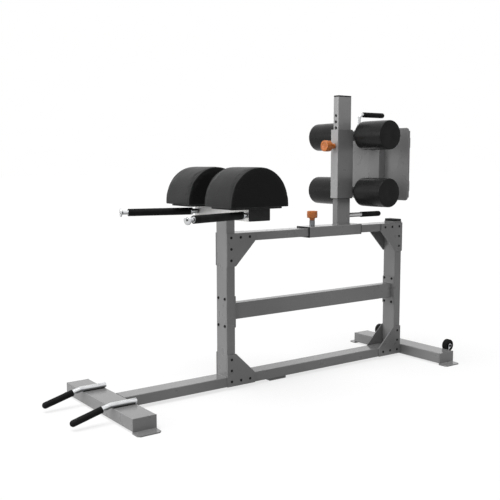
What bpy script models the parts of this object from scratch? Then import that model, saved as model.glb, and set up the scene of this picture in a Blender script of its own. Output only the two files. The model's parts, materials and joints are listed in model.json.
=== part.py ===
"""Glute ham bench: a steel frame, a slider with a mast, a carriage with ankle rollers, and two hip pads.

Metres, +Z up, the floor at Z = 0. +X runs from the hip pads to the foot plate, and the bench is alike
on both sides of the plane Y = 0. The middle of the whole bench's box is over the origin.
"""

import math

import bmesh
import bpy
from mathutils import Matrix, Vector

# Clearances and stock
SEAT = 0.0003  # gap between two pieces that touch
WALL = 0.003  # wall of the frame tubes
PAST = 0.001  # how far a cutter stands past what it cuts
TUBE_CORNER = 0.004  # outer corner radius of the frame tubes
CORNER_STEPS = 2
BORE_CORNER = 0.0008  # least corner radius inside a tube
HOLE_SIDES = 8
HANDLE_SIDES = 16
KNOB_SIDES = 20
WHEEL_SIDES = 20
ROLLER_SIDES = 24

# Frame tubes
TUBE_WIDTH = 0.090  # across the bench: base beam, posts and top beam
POST_DEPTH = 0.050
POST_SPAN = 1.160  # front face of the front post to front face of the rear post
BASE_HEIGHT = 0.050
TOP_BEAM_HEIGHT = 0.042
TOP_LEVEL = 0.774  # upper face of the top beam
REAR_POST_STAND = 0.008  # how far the rear post stands above the top beam
MID_BEAM_WIDTH = 0.050
MID_BEAM_HEIGHT = 0.081
MID_BEAM_LEVEL = 0.3858  # middle of the mid beam

# Feet
FOOT_WIDTH = 0.113
FOOT_HEIGHT = 0.0565
FOOT_LENGTH = 0.664
FRONT_FOOT_REACH = 0.558  # front face of the front post to the rear face of the front foot
REAR_FOOT_GAP = 0.009
TUBE_RISE = 0.016  # the floor to the underside of the base beam
FOOT_PLATE = 0.006
FOOT_PLATE_OUT = 0.048  # past the upright that closes the tube
FOOT_PLATE_CUT = 0.012
FOOT_PLATE_BEND = 0.004
MIDDLE_FOOT_LENGTH = 0.104
MIDDLE_FOOT_WIDTH = 0.060
MIDDLE_FOOT_X = 0.328  # middle of the support under the base beam, from the front post's front face

# Flanges of the mid beam
FLANGE_THICK = 0.006
FLANGE_WIDTH = 0.084
FLANGE_HEIGHT = 0.157
FLANGE_HOLE_RISE = 0.0675
FLANGE_HOLE_SIDE = 0.028
BOLT_HOLE = 0.0105

# Gusset plates
GUSSET_THICK = 0.005
GUSSET_ALONG = 0.168
GUSSET_TALL = 0.162
GUSSET_LAND = 0.002  # past the beam or post that the plate's cut corner starts from
GUSSET_HOLE_EDGE = 0.025
GUSSET_HOLE_PITCH = 0.0555

# Pad cross tube and caps
PAD_TUBE_RISE = 0.069  # its lower face, on the front post, above the top beam
PAD_TUBE_WIDTH = 0.120
PAD_TUBE_HEIGHT = 0.058
PAD_TUBE_LENGTH = 0.456
CAP_THICK = 0.005
CAP_PLUG = 0.018
CAP_CLEARANCE = 0.0005
POST_CAP_HEIGHT = 0.012
POST_CAP_INSET = 0.002

# Hip pads
PAD_WIDTH = 0.328  # along X
PAD_HEIGHT = 0.186
PAD_LENGTH = 0.223  # along Y
PAD_GAP = 0.134  # between the two pads
PAD_FORWARD = 0.140  # from the front post's front face
PAD_BOARD = 0.0085
PAD_BOARD_INSET = 0.020
PAD_BOARD_CORNER = 0.014
PAD_EDGE = 0.008
PAD_FOOT_EDGE = 0.004
PAD_BULGE = 0.003
PAD_CROWN = 0.003
PAD_ARC_STEPS = 18
PAD_END_RINGS = (0.35, 0.75)  # shares of the outline

# Front handles
HANDLE_SPREAD = 0.212  # from the middle plane to the handle's root
HANDLE_SPLAY = math.radians(14.6)
HANDLE_LENGTH = 0.395
HANDLE_RADIUS = 0.0125
COLLAR_RADIUS = 0.0185
COLLAR_START = 0.028
COLLAR_LENGTH = 0.010
HANDLE_BARE_END = 0.0387  # from the grip's end to the handle's end
HANDLE_GRIP_RADIUS = 0.0172
NECK_RADIUS = 0.0085
DISC_RADIUS = 0.0215
DISC_THICK = 0.005
DISC_EDGE = 0.0015
DISC_RECESS = 0.003
DISC_RECESS_RADIUS = 0.006

# Floor handles
FLOOR_HANDLE_SPREAD = 0.153
FLOOR_HANDLE_RADIUS = 0.0125
FLOOR_HANDLE_TAIL = 0.001  # past the foot's rear edge
FLOOR_HANDLE_OVERHANG = 0.012  # from the foot's front edge to the bend
FLOOR_HANDLE_SLOPE = math.radians(15.0)
FLOOR_HANDLE_BEND = 0.045
FLOOR_GRIP_START = 0.038  # from the bend's corner
FLOOR_GRIP_LENGTH = 0.151
GRIP_WALL = 0.0022
GRIP_CLEARANCE = 0.0003
GRIP_EDGE = 0.0016
BAR_SIDES = 12

# Transport wheels
WHEEL_RADIUS = 0.0345
WHEEL_WIDTH = 0.027
WHEEL_SPREAD = 0.2665
WHEEL_LEVEL = 0.0795
WHEEL_OFFSET = 0.037  # axle behind the rear foot
WHEEL_CROWN = 0.004
HUB_RADIUS = 0.009
HUB_RECESS = 0.003
HUB_FOOT_RADIUS = 0.0105
RIM_RADIUS = 0.022  # inner edge of the rim
RIM_SLOPE = 0.002
AXLE_BOLT_RADIUS = 0.004
AXLE_CLEARANCE = 0.0003
BRACKET_PLATE = 0.003
BRACKET_SIDE_GAP = 0.0015
BRACKET_ROUND = 0.012
BRACKET_STEPS = 9
BRACKET_FOOT = 0.032  # lower edge above the floor
BRACKET_SHOULDER = 0.055  # upper edge of its back above the floor

# Slider
SLIDER_LEAD = 0.219  # from the slider's front end to the mast's front face
SLIDER_LENGTH = 0.365
LINER = 0.003
RUNNING_GAP = 0.0003
SLIDE_PIN_BACK = 0.059  # from the slider's front end
SLIDE_PITCH = 0.050
SLIDE_STEPS_FORWARD = 6
SLIDE_STEPS_BACK = 3

# Mast
MAST_FRONT = 0.738  # from the front post's front face
MAST_DEPTH = 0.093
MAST_WIDTH = 0.040
MAST_SPARE = 0.019  # its top above the sleeve's, with the carriage at its highest pin hole
MAST_CAP = 0.007
LIFT_PITCH = 0.032
LIFT_STEPS_UP = 5
LIFT_STEPS_DOWN = 1

# Carriage
SLEEVE_RISE = 0.149  # its lower end above the top beam
SLEEVE_PAST = 0.0334  # its upper end above the upper rollers' axis
SLEEVE_LINER_X = 0.0049
SLEEVE_LINER_Y = 0.0047
SLEEVE_WALL = 0.0035
SLEEVE_CHAMFER = 0.008
SLEEVE_BORE_CORNER = 0.002
LIFT_PIN_DROP = 0.0541  # below the upper rollers' axis

# Pop pins
PIN_HOLE = 0.011
PIN_RADIUS = 0.005
PIN_NOSE_GAP = 0.0004
BARREL_RADIUS = 0.0125
SLIDE_BARREL_LENGTH = 0.0445
LIFT_BARREL_LENGTH = 0.033
KNOB_RADIUS = 0.026
KNOB_LENGTH = 0.033
KNOB_EDGE = 0.004
KNOB_FOOT_RADIUS = 0.016
KNOB_DISH_RADIUS = 0.017
KNOB_DISH = 0.002
PIN_TIP = 0.001

# Rollers and their axles
ROLLER_BACK = 0.124  # from the mast's front face
UPPER_ROLLER_DROP = 0.0434  # below the foot plate's upper edge
LOWER_ROLLER_RISE = 0.048  # above the foot plate's lower edge
ROLLER_RADIUS = 0.076
ROLLER_INNER = 0.088  # from the middle plane to the roller's inner face
ROLLER_LENGTH = 0.192
ROLLER_EDGE = 0.012
ROLLER_CLEARANCE = 0.0005
ROLLER_END = 0.014  # closed foam past the bore
ROLLER_AXLE_RADIUS = 0.0125
THRUST_RADIUS = 0.020
THRUST_LENGTH = 0.004

# Foot plate and its frame
PLATE_BACK = 0.3275  # from the mast's front face
PLATE_THICK = 0.005
PLATE_DROP = 0.014  # its lower edge below the sleeve's lower end
PLATE_TALL = 0.389
PLATE_HALF = 0.2165
PLATE_LIP = 0.012  # from its face to the rear of its bent sides
PLATE_GAP = 0.046  # between the two plates
PLATE_CORNER = 0.016
ARM_WIDTH = 0.040
ARM_HEIGHT = 0.050
BRACE_DEPTH = 0.044  # the upright tube in front of the plates
BRACE_WIDTH = 0.088
BRACE_SHORT = 0.012  # inside the plates' upper and lower edges
SPINE_DEPTH = 0.030
SPINE_WIDTH = 0.052
STRAP_DEPTH = 0.020
STRAP_SHORT = 0.0165  # from the plate's outer edge to the strap's end
STRAP_HEIGHT = 0.057
UPPER_STRAP_DROP = 0.0366  # below the upper rollers' axis
LOWER_STRAP_RISE = 0.029  # above the lower rollers' axis
FRAME_WALL = 0.0025
FRAME_SINK = 0.0015  # how far a welded tube's end is sunk into the next tube's wall

# Handles of the slider and the carriage
SLIDE_HANDLE_RISE = 0.0545  # above the top beam
SLIDE_HANDLE_GRIP_START = 0.098  # behind the mast
SLIDE_HANDLE_GRIP_LENGTH = 0.150
SLIDE_HANDLE_RADIUS = 0.0122
LIFT_HANDLE_BACK = 0.169  # from the mast's front face
LIFT_HANDLE_RISE = 0.1139  # above the upper rollers' axis
LIFT_HANDLE_RADIUS = 0.0095
LIFT_HANDLE_BEND = 0.028
LIFT_GRIP_START = 0.030
LIFT_GRIP_LENGTH = 0.158
LIFT_GRIP_WALL = 0.0042

# Places that follow from the sizes above, from the front post's front face
BASE_TOP = TUBE_RISE + BASE_HEIGHT
BASE_MIDDLE = TUBE_RISE + BASE_HEIGHT / 2
PAD_TUBE_LEVEL = TOP_LEVEL + PAD_TUBE_RISE
SLIDER_FRONT = MAST_FRONT - SLIDER_LEAD
SLIDE_PIN_X = SLIDER_FRONT + SLIDE_PIN_BACK
SLIDE_HANDLE_LEVEL = TOP_LEVEL + SLIDE_HANDLE_RISE
SLEEVE_BOTTOM = TOP_LEVEL + SLEEVE_RISE
PLATE_X = MAST_FRONT + PLATE_BACK
PLATE_BOTTOM = SLEEVE_BOTTOM - PLATE_DROP
ROLLER_X = MAST_FRONT + ROLLER_BACK
UPPER_ROLLER_LEVEL = PLATE_BOTTOM + PLATE_TALL - UPPER_ROLLER_DROP
LOWER_ROLLER_LEVEL = PLATE_BOTTOM + LOWER_ROLLER_RISE
SLEEVE_TOP = UPPER_ROLLER_LEVEL + SLEEVE_PAST
SLEEVE_HEIGHT = SLEEVE_TOP - SLEEVE_BOTTOM
LIFT_PIN_LEVEL = UPPER_ROLLER_LEVEL - LIFT_PIN_DROP
MAST_TOP = SLEEVE_TOP + LIFT_STEPS_UP * LIFT_PITCH + MAST_SPARE
UPPER_STRAP_LEVEL = UPPER_ROLLER_LEVEL - UPPER_STRAP_DROP
LOWER_STRAP_LEVEL = LOWER_ROLLER_LEVEL + LOWER_STRAP_RISE
LIFT_HANDLE_X = MAST_FRONT + LIFT_HANDLE_BACK
LIFT_HANDLE_LEVEL = UPPER_ROLLER_LEVEL + LIFT_HANDLE_RISE
FRONT_FOOT_X = -FRONT_FOOT_REACH - FOOT_WIDTH
REAR_POST_FRONT = POST_SPAN
REAR_POST_REAR = POST_SPAN + POST_DEPTH
REAR_FOOT_X = REAR_POST_REAR + REAR_FOOT_GAP
REAR_FOOT_REAR = REAR_FOOT_X + FOOT_WIDTH
WHEEL_X = REAR_FOOT_REAR + WHEEL_OFFSET
FLOOR_CORNER_X = FRONT_FOOT_X - FLOOR_HANDLE_OVERHANG
FLOOR_GRIP_RADIUS = FLOOR_HANDLE_RADIUS + GRIP_CLEARANCE + GRIP_WALL
FLOOR_GRIP_ROUND = FLOOR_GRIP_START + FLOOR_GRIP_LENGTH - FLOOR_GRIP_RADIUS
FRONT_REACH = FLOOR_CORNER_X - FLOOR_GRIP_ROUND * math.cos(FLOOR_HANDLE_SLOPE) - FLOOR_GRIP_RADIUS
REAR_REACH = WHEEL_X + WHEEL_RADIUS
POST_X = -(FRONT_REACH + REAR_REACH) / 2
SIDES = {"near": -1, "far": 1}

MATERIALS = {}
PLACES = {}


def material(name, colour, roughness, metallic=0.0):
    """Makes or finds the Principled BSDF material called name."""
    if name not in MATERIALS:
        made = bpy.data.materials.new(name)
        made.use_nodes = True
        shader = made.node_tree.nodes["Principled BSDF"]
        shader.inputs["Base Color"].default_value = (*colour, 1.0)
        shader.inputs["Roughness"].default_value = roughness
        shader.inputs["Metallic"].default_value = metallic
        made.diffuse_color = (*colour, 1.0)
        MATERIALS[name] = made
    return MATERIALS[name]


def frame_paint():
    return material("frame_paint", (0.21, 0.21, 0.215), 0.38)


def black_plastic():
    return material("black_plastic", (0.012, 0.012, 0.013), 0.45)


def black_rubber():
    return material("black_rubber", (0.010, 0.010, 0.010), 0.7)


def chrome():
    return material("chrome", (0.80, 0.80, 0.80), 0.12, 1.0)


def zinc_plate():
    return material("zinc_plate", (0.55, 0.56, 0.57), 0.35, 1.0)


def dark_steel():
    return material("dark_steel", (0.08, 0.08, 0.085), 0.4, 1.0)


def orange_plastic():
    return material("orange_plastic", (0.62, 0.19, 0.035), 0.35)


def vinyl():
    return material("vinyl", (0.014, 0.014, 0.015), 0.5)


def foam():
    return material("foam", (0.013, 0.013, 0.014), 0.75)


def liner_plastic():
    return material("liner_plastic", (0.05, 0.05, 0.052), 0.5)


def axis_empty(name, at, parent=None):
    """An empty at a joint's axis: what moves there is parented to it."""
    empty = bpy.data.objects.new(name, None)
    bpy.context.scene.collection.objects.link(empty)
    place(empty, Vector(at), parent)
    return empty


def place(thing, at, parent):
    """Puts an object's origin at a world place, under its parent."""
    PLACES[thing.name] = at
    thing.parent = parent
    thing.location = at - PLACES[parent.name] if parent else at


def add(name, mesh, finish, parent=None, at=None):
    """Links a mesh made in world coordinates, with its origin at its parent's or at a given place."""
    origin = Vector(at) if at is not None else Vector(PLACES[parent.name]) if parent else Vector((0, 0, 0))
    mesh.transform(Matrix.Translation(-origin))
    mesh.name = name
    mesh.materials.clear()
    mesh.materials.append(finish)
    thing = bpy.data.objects.new(name, mesh)
    bpy.context.scene.collection.objects.link(thing)
    place(thing, origin, parent)
    return thing


def smooth(thing, angle=math.radians(35)):
    """Shades a round piece smooth, with its edges kept sharp."""
    thing.data.shade_smooth()
    thing.data.set_sharp_from_angle(angle=angle)
    return thing


def boolean(thing, cutter_mesh, operation="DIFFERENCE"):
    """Cuts, joins or trims a piece with a hidden helper."""
    helper = add(f"{thing.name}_{operation.lower()}_{len(thing.modifiers)}", cutter_mesh, frame_paint())
    helper.hide_render = True
    helper.display_type = "WIRE"
    step = thing.modifiers.new(operation.lower(), "BOOLEAN")
    step.operation = operation
    step.solver = "EXACT"
    step.object = helper
    return thing


def rounded_outline(width, height, radius, steps=CORNER_STEPS):
    """The corners of a rounded rectangle about (0, 0), going round once."""
    points = []
    for quarter, (sx, sy) in enumerate(((1, 1), (-1, 1), (-1, -1), (1, -1))):
        cx = sx * (width / 2 - radius)
        cy = sy * (height / 2 - radius)
        for step in range(steps + 1):
            turn = math.pi / 2 * (quarter + step / steps)
            points.append((cx + radius * math.cos(turn), cy + radius * math.sin(turn)))
    return points


def circle_outline(cx, cy, radius, steps=HOLE_SIDES):
    """The corners of a round hole."""
    turns = [2 * math.pi * step / steps for step in range(steps)]
    return [(cx + radius * math.cos(turn), cy + radius * math.sin(turn)) for turn in turns]


def clean(mesh):
    """Merges the seams that a converted curve leaves, and turns all faces outwards."""
    shape = bmesh.new()
    shape.from_mesh(mesh)
    bmesh.ops.remove_doubles(shape, verts=shape.verts, dist=1e-6)
    bmesh.ops.recalc_face_normals(shape, faces=shape.faces)
    shape.to_mesh(mesh)
    shape.free()
    return mesh


def prism(outlines, depth, frame):
    """A flat shape with holes, extruded: frame maps its x, y and depth to the world."""
    curve = bpy.data.curves.new("outline", "CURVE")
    curve.dimensions = "2D"
    curve.fill_mode = "BOTH"
    curve.extrude = depth / 2
    for outline in outlines:
        spline = curve.splines.new("POLY")
        spline.points.add(len(outline) - 1)
        for point, (x, y) in zip(spline.points, outline):
            point.co = (x, y, 0, 1)
        spline.use_cyclic_u = True
    holder = bpy.data.objects.new("outline", curve)
    mesh = bpy.data.meshes.new_from_object(holder)
    bpy.data.objects.remove(holder)
    bpy.data.curves.remove(curve)
    mesh.transform(frame @ Matrix.Translation((0, 0, depth / 2)))
    return clean(mesh)


def facing(axis, at):
    """A frame whose depth runs along +X, +Y or +Z from the place at."""
    columns = {
        "x": ((0, 1, 0), (0, 0, 1), (1, 0, 0)),
        "y": ((0, 0, 1), (1, 0, 0), (0, 1, 0)),
        "z": ((1, 0, 0), (0, 1, 0), (0, 0, 1)),
    }[axis]
    turn = Matrix(columns).transposed().to_4x4()
    return Matrix.Translation(at) @ turn


def section(axis, start, length, size, radius, wall):
    """A hollow rectangular tube along an axis: size is across and up, in the order of facing()."""
    width, height = size
    outer = rounded_outline(width, height, radius)
    inner = rounded_outline(width - 2 * wall, height - 2 * wall, max(radius - wall, BORE_CORNER))
    return prism([outer, inner], length, facing(axis, start))


def block(low, high):
    """A plain box between two corners."""
    (x0, y0, z0), (x1, y1, z1) = low, high
    outline = [(x0, y0), (x1, y0), (x1, y1), (x0, y1)]
    return prism([outline], z1 - z0, Matrix.Translation((0, 0, z0)))


def aim(start, direction):
    """A frame at start whose z runs along a direction."""
    turn = Vector(direction).to_track_quat("Z", "Y").to_matrix().to_4x4()
    return Matrix.Translation(start) @ turn


def turned(profile, start, direction, segments, hollow=False):
    """A profile of (distance, radius) points spun about an axis: closed on itself where hollow."""
    shape = bmesh.new()
    rings = []
    for along, radius in profile:
        if radius <= 0:
            rings.append([shape.verts.new((0, 0, along))])
            continue
        turns = [2 * math.pi * step / segments for step in range(segments)]
        rings.append([shape.verts.new((radius * math.cos(t), radius * math.sin(t), along)) for t in turns])
    pairs = list(zip(rings, rings[1:]))
    if hollow:
        pairs.append((rings[-1], rings[0]))
    for one, other in pairs:
        for step in range(segments):
            turns = ((one, step), (one, step + 1), (other, step + 1), (other, step))
            face = list(dict.fromkeys(ring[turn % len(ring)] for ring, turn in turns))
            if len(face) > 2:
                shape.faces.new(face)
    bmesh.ops.recalc_face_normals(shape, faces=shape.faces)
    mesh = bpy.data.meshes.new("turned")
    shape.to_mesh(mesh)
    shape.free()
    mesh.transform(aim(start, direction))
    return mesh


def rod(start, direction, length, radius, segments=BAR_SIDES):
    """A plain round bar."""
    return turned([(0, 0), (0, radius), (length, radius), (length, 0)], start, direction, segments)


def rods(starts, direction, length, radius, segments=HOLE_SIDES):
    """Equal round bars in one mesh, for a row of holes."""
    shape = bmesh.new()
    for start in starts:
        shape.from_mesh(rod(start, direction, length, radius, segments))
    mesh = bpy.data.meshes.new("rods")
    shape.to_mesh(mesh)
    shape.free()
    return mesh


def arc_profile(along, radius, size, first, last, steps=3):
    """Points of a rounded edge: its middle at (along, radius), turned from first to last degrees."""
    turns = [math.radians(first + (last - first) * step / steps) for step in range(steps + 1)]
    return [(along + size * math.cos(turn), radius + size * math.sin(turn)) for turn in turns]


def bent_bar(corners, bend, radius, steps=6):
    """A round bar along straight runs, with an arc of the bend's radius at each inner corner."""
    corners = [Vector(corner) for corner in corners]
    points = [corners[0]]
    for before, corner, after in zip(corners, corners[1:], corners[2:]):
        back = (before - corner).normalized()
        ahead = (after - corner).normalized()
        half = back.angle(ahead) / 2
        reach = bend / math.tan(half)
        middle = corner + (back + ahead).normalized() * (bend / math.sin(half))
        first = corner + back * reach - middle
        last = corner + ahead * reach - middle
        sweep = first.angle(last)
        for step in range(steps + 1):
            share = step / steps
            arm = (first * math.sin((1 - share) * sweep) + last * math.sin(share * sweep)) / math.sin(sweep)
            points.append(middle + arm)
    points.append(corners[-1])
    curve = bpy.data.curves.new("bar", "CURVE")
    curve.dimensions = "3D"
    curve.bevel_depth = radius
    curve.bevel_resolution = (BAR_SIDES - 4) // 2
    curve.use_fill_caps = True
    spline = curve.splines.new("POLY")
    spline.points.add(len(points) - 1)
    for point, place_at in zip(spline.points, points):
        point.co = (*place_at, 1)
    holder = bpy.data.objects.new("bar", curve)
    mesh = bpy.data.meshes.new_from_object(holder)
    bpy.data.objects.remove(holder)
    bpy.data.curves.remove(curve)
    return clean(mesh)


def blind_grip(length, bar_radius, bar_end, wall):
    """The profile of a grip with a round closed end, over a bar that ends inside it."""
    bore = bar_radius + GRIP_CLEARANCE
    outer = bore + wall
    profile = [(bar_end + GRIP_CLEARANCE, 0), (bar_end + GRIP_CLEARANCE, bore), (0, bore)]
    profile += arc_profile(GRIP_EDGE, outer - GRIP_EDGE, GRIP_EDGE, 180, 90)
    profile += arc_profile(length - outer, 0, outer, 90, 0, 4)[:-1]
    profile.append((length, 0))
    return profile


# Frame


def cross_foot(name, x):
    start = (POST_X + x + FOOT_WIDTH / 2, -FOOT_LENGTH / 2, BASE_TOP - FOOT_HEIGHT / 2)
    mesh = section("y", start, FOOT_LENGTH, (FOOT_HEIGHT, FOOT_WIDTH), TUBE_CORNER, WALL)
    smooth(add(name, mesh, frame_paint()))


def foot_end(name, x, side):
    """A bent plate: its upright closes the foot tube, and its tongue stands on the floor past the end."""
    inner = FOOT_LENGTH / 2 + SEAT
    face = inner + FOOT_PLATE
    tip = face + FOOT_PLATE_OUT
    bend_y = face + FOOT_PLATE_BEND
    bend_z = FOOT_PLATE + FOOT_PLATE_BEND
    bend = [(bend_y - px, bend_z - pz) for px, pz in arc_profile(0, 0, FOOT_PLATE_BEND, 90, 0)]
    tongue = [(inner, 0), (tip + PAST, 0), (tip + PAST, FOOT_PLATE)]
    angle = [(side * py, pz) for py, pz in [*tongue, *bend, (face, BASE_TOP), (inner, BASE_TOP)]]
    x0 = POST_X + x
    x1 = x0 + FOOT_WIDTH
    plate = add(name, prism([angle], FOOT_WIDTH + 2 * PAST, facing("x", (x0 - PAST, 0, 0))), frame_paint())
    cut = FOOT_PLATE_CUT
    root = inner - PAST
    plan = [(x0, root), (x1, root), (x1, tip - cut), (x1 - cut, tip), (x0 + cut, tip), (x0, tip - cut)]
    plan = [(px, side * py) for px, py in plan]
    boolean(plate, prism([plan], BASE_TOP + 2 * PAST, facing("z", (0, 0, -PAST))), "INTERSECT")


def base_beam():
    """The long beam from foot to foot, with the support welded under it."""
    start = -FRONT_FOOT_REACH + SEAT
    end = REAR_FOOT_X - SEAT
    size = (TUBE_WIDTH, BASE_HEIGHT)
    mesh = section("x", (POST_X + start, 0, BASE_MIDDLE), end - start, size, TUBE_CORNER, WALL)
    beam = smooth(add("base_beam", mesh, frame_paint()))
    middle = POST_X + MIDDLE_FOOT_X
    low = (middle - MIDDLE_FOOT_LENGTH / 2, -MIDDLE_FOOT_WIDTH / 2, 0)
    high = (middle + MIDDLE_FOOT_LENGTH / 2, MIDDLE_FOOT_WIDTH / 2, TUBE_RISE + WALL / 2)
    boolean(beam, block(low, high), "UNION")


def posts():
    foot = BASE_TOP + SEAT
    size = (POST_DEPTH, TUBE_WIDTH)
    for name, x, top in (
        ("front_post", 0, PAD_TUBE_LEVEL - SEAT),
        ("rear_post", REAR_POST_FRONT, TOP_LEVEL + REAR_POST_STAND),
    ):
        start = (POST_X + x + POST_DEPTH / 2, 0, foot)
        post = smooth(add(name, section("z", start, top - foot, size, TUBE_CORNER, WALL), frame_paint()))
        holes = [
            (POST_X + x - WALL, sy * FLANGE_HOLE_SIDE, MID_BEAM_LEVEL + sz * FLANGE_HOLE_RISE)
            for sy in (-1, 1)
            for sz in (-1, 1)
        ]
        boolean(post, rods(holes, (1, 0, 0), POST_DEPTH + 2 * WALL, BOLT_HOLE / 2))


def rear_post_cap():
    """A cap that plugs into the rear post and stands on its rim."""
    x = POST_X + REAR_POST_FRONT + POST_DEPTH / 2
    rim = TOP_LEVEL + REAR_POST_STAND + SEAT
    head_size = (POST_DEPTH - 2 * POST_CAP_INSET, TUBE_WIDTH - 2 * POST_CAP_INSET)
    head = prism([rounded_outline(*head_size, TUBE_CORNER)], POST_CAP_HEIGHT, facing("z", (x, 0, rim)))
    cap = add("rear_post_cap", head, black_plastic())
    inner = [size - 2 * (WALL + CAP_CLEARANCE) for size in (POST_DEPTH, TUBE_WIDTH)]
    plug = prism(
        [rounded_outline(*inner, TUBE_CORNER - WALL)],
        CAP_PLUG + POST_CAP_HEIGHT / 2,
        facing("z", (x, 0, rim - CAP_PLUG)),
    )
    boolean(cap, plug, "UNION")


def top_beam():
    """The rail that the slider runs on, with its row of pin holes."""
    x0 = POST_DEPTH + SEAT
    x1 = REAR_POST_FRONT - SEAT
    start = (POST_X + x0, 0, TOP_LEVEL - TOP_BEAM_HEIGHT / 2)
    mesh = section("x", start, x1 - x0, (TUBE_WIDTH, TOP_BEAM_HEIGHT), TUBE_CORNER, WALL)
    beam = smooth(add("top_beam", mesh, frame_paint()))
    steps = range(-SLIDE_STEPS_FORWARD, SLIDE_STEPS_BACK + 1)
    holes = [(POST_X + SLIDE_PIN_X + step * SLIDE_PITCH, 0, TOP_LEVEL - 2 * WALL) for step in steps]
    boolean(beam, rods(holes, (0, 0, 1), 4 * WALL, PIN_HOLE / 2))


def mid_beam():
    """A tall narrow beam with a flange at each end, bolted to the posts."""
    x0 = POST_DEPTH + SEAT
    x1 = REAR_POST_FRONT - SEAT
    size = (MID_BEAM_WIDTH, MID_BEAM_HEIGHT)
    start = (POST_X + x0 + FLANGE_THICK / 2, 0, MID_BEAM_LEVEL)
    mesh = section("x", start, x1 - x0 - FLANGE_THICK, size, TUBE_CORNER, WALL)
    beam = smooth(add("mid_beam", mesh, frame_paint()))
    holes = [
        circle_outline(sy * FLANGE_HOLE_SIDE, sz * FLANGE_HOLE_RISE, BOLT_HOLE / 2)
        for sy in (-1, 1)
        for sz in (-1, 1)
    ]
    bore = rounded_outline(MID_BEAM_WIDTH - 3 * WALL, MID_BEAM_HEIGHT - 3 * WALL, TUBE_CORNER)
    outer = rounded_outline(FLANGE_WIDTH, FLANGE_HEIGHT, TUBE_CORNER)
    for x in (x0, x1 - FLANGE_THICK):
        flange = prism([outer, bore, *holes], FLANGE_THICK, facing("x", (POST_X + x, 0, MID_BEAM_LEVEL)))
        boolean(beam, flange, "UNION")


def gusset(name, end, level, side):
    """A five-cornered plate over a corner of the frame: end is front or rear, level upper or lower."""
    beam = TOP_BEAM_HEIGHT if level == "upper" else BASE_HEIGHT
    beam_land = beam + GUSSET_LAND
    post_land = POST_DEPTH + GUSSET_LAND
    corners = [(0, 0), (GUSSET_ALONG, 0), (GUSSET_ALONG, beam_land)]
    corners += [(post_land, GUSSET_TALL), (0, GUSSET_TALL)]
    middle = beam / 2
    places = [(GUSSET_HOLE_EDGE + step * GUSSET_HOLE_PITCH, middle) for step in range(3)]
    places += [(GUSSET_HOLE_EDGE, middle + step * GUSSET_HOLE_PITCH) for step in (1, 2)]
    holes = [circle_outline(px, py, BOLT_HOLE / 2) for px, py in places]
    corner_x = POST_X if end == "front" else POST_X + REAR_POST_REAR
    along = 1 if end == "front" else -1
    corner_z = TOP_LEVEL if level == "upper" else TUBE_RISE
    up = -1 if level == "upper" else 1
    # facing("y") takes height first, then X
    outlines = []
    for shape in [corners, *holes]:
        outlines.append([(corner_z + up * py, corner_x + along * px) for px, py in shape])
    inner = TUBE_WIDTH / 2 + SEAT
    y = inner if side > 0 else -inner - GUSSET_THICK
    add(name, prism(outlines, GUSSET_THICK, facing("y", (0, y, 0))), frame_paint())


def gussets():
    for end in ("front", "rear"):
        for level in ("upper", "lower"):
            for side_name, side in SIDES.items():
                gusset(f"{end}_{level}_gusset_{side_name}", end, level, side)


# Hip pads


def pad_cross_tube():
    start = (POST_X + PAD_TUBE_WIDTH / 2, -PAD_TUBE_LENGTH / 2, PAD_TUBE_LEVEL + PAD_TUBE_HEIGHT / 2)
    size = (PAD_TUBE_HEIGHT, PAD_TUBE_WIDTH)
    mesh = section("y", start, PAD_TUBE_LENGTH, size, TUBE_CORNER, WALL)
    smooth(add("pad_cross_tube", mesh, zinc_plate()))
    inner = [length - 2 * (WALL + CAP_CLEARANCE) for length in size]
    for side_name, side in SIDES.items():
        face = PAD_TUBE_LENGTH / 2 + SEAT
        head_y = face if side > 0 else -face - CAP_THICK
        plug_length = CAP_PLUG + CAP_THICK / 2
        plug_y = face - CAP_PLUG if side > 0 else -face - CAP_THICK / 2
        head_frame = facing("y", (start[0], head_y, start[2]))
        plug_frame = facing("y", (start[0], plug_y, start[2]))
        head = prism([rounded_outline(*size, TUBE_CORNER)], CAP_THICK, head_frame)
        plug = prism([rounded_outline(*inner, TUBE_CORNER - WALL)], plug_length, plug_frame)
        boolean(add(f"pad_tube_cap_{side_name}", head, black_plastic()), plug, "UNION")


def pad_outline(inset, grow=0.0):
    """The half-round side of a pad, drawn in by an inset: straight sides, a half circle and round feet."""
    half = PAD_WIDTH / 2 - inset + grow
    floor = inset
    edge = PAD_FOOT_EDGE
    straight = PAD_HEIGHT - PAD_WIDTH / 2
    points = []
    for step in range(PAD_ARC_STEPS + 1):
        turn = math.pi * step / PAD_ARC_STEPS
        points.append((half * math.cos(turn), straight + half * math.sin(turn)))
    for step in range(3):
        turn = math.pi + math.pi / 2 * step / 2
        points.append((-half + edge + edge * math.cos(turn), floor + edge + edge * math.sin(turn)))
    points.append((0.0, floor))
    for step in range(3):
        turn = 1.5 * math.pi + math.pi / 2 * step / 2
        points.append((half - edge + edge * math.cos(turn), floor + edge + edge * math.sin(turn)))
    return points


def pad_stations():
    """Distance along the pad, inset and share of the outline, from one end face to the other."""
    half = PAD_LENGTH / 2
    end = [(-half - PAD_BULGE * (1 - share**2) + PAD_BULGE, PAD_EDGE, share) for share in PAD_END_RINGS]
    for step in range(5):
        turn = math.pi / 2 * step / 4
        inset = PAD_EDGE * (1 - math.sin(turn))
        end.append((-half + PAD_BULGE + PAD_EDGE * (1 - math.cos(turn)), inset, 1.0))
    inner = [(along, 0.0, 1.0) for along in (-half / 2, 0.0, half / 2)]
    return end + inner + [(-along, inset, share) for along, inset, share in reversed(end)]


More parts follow.
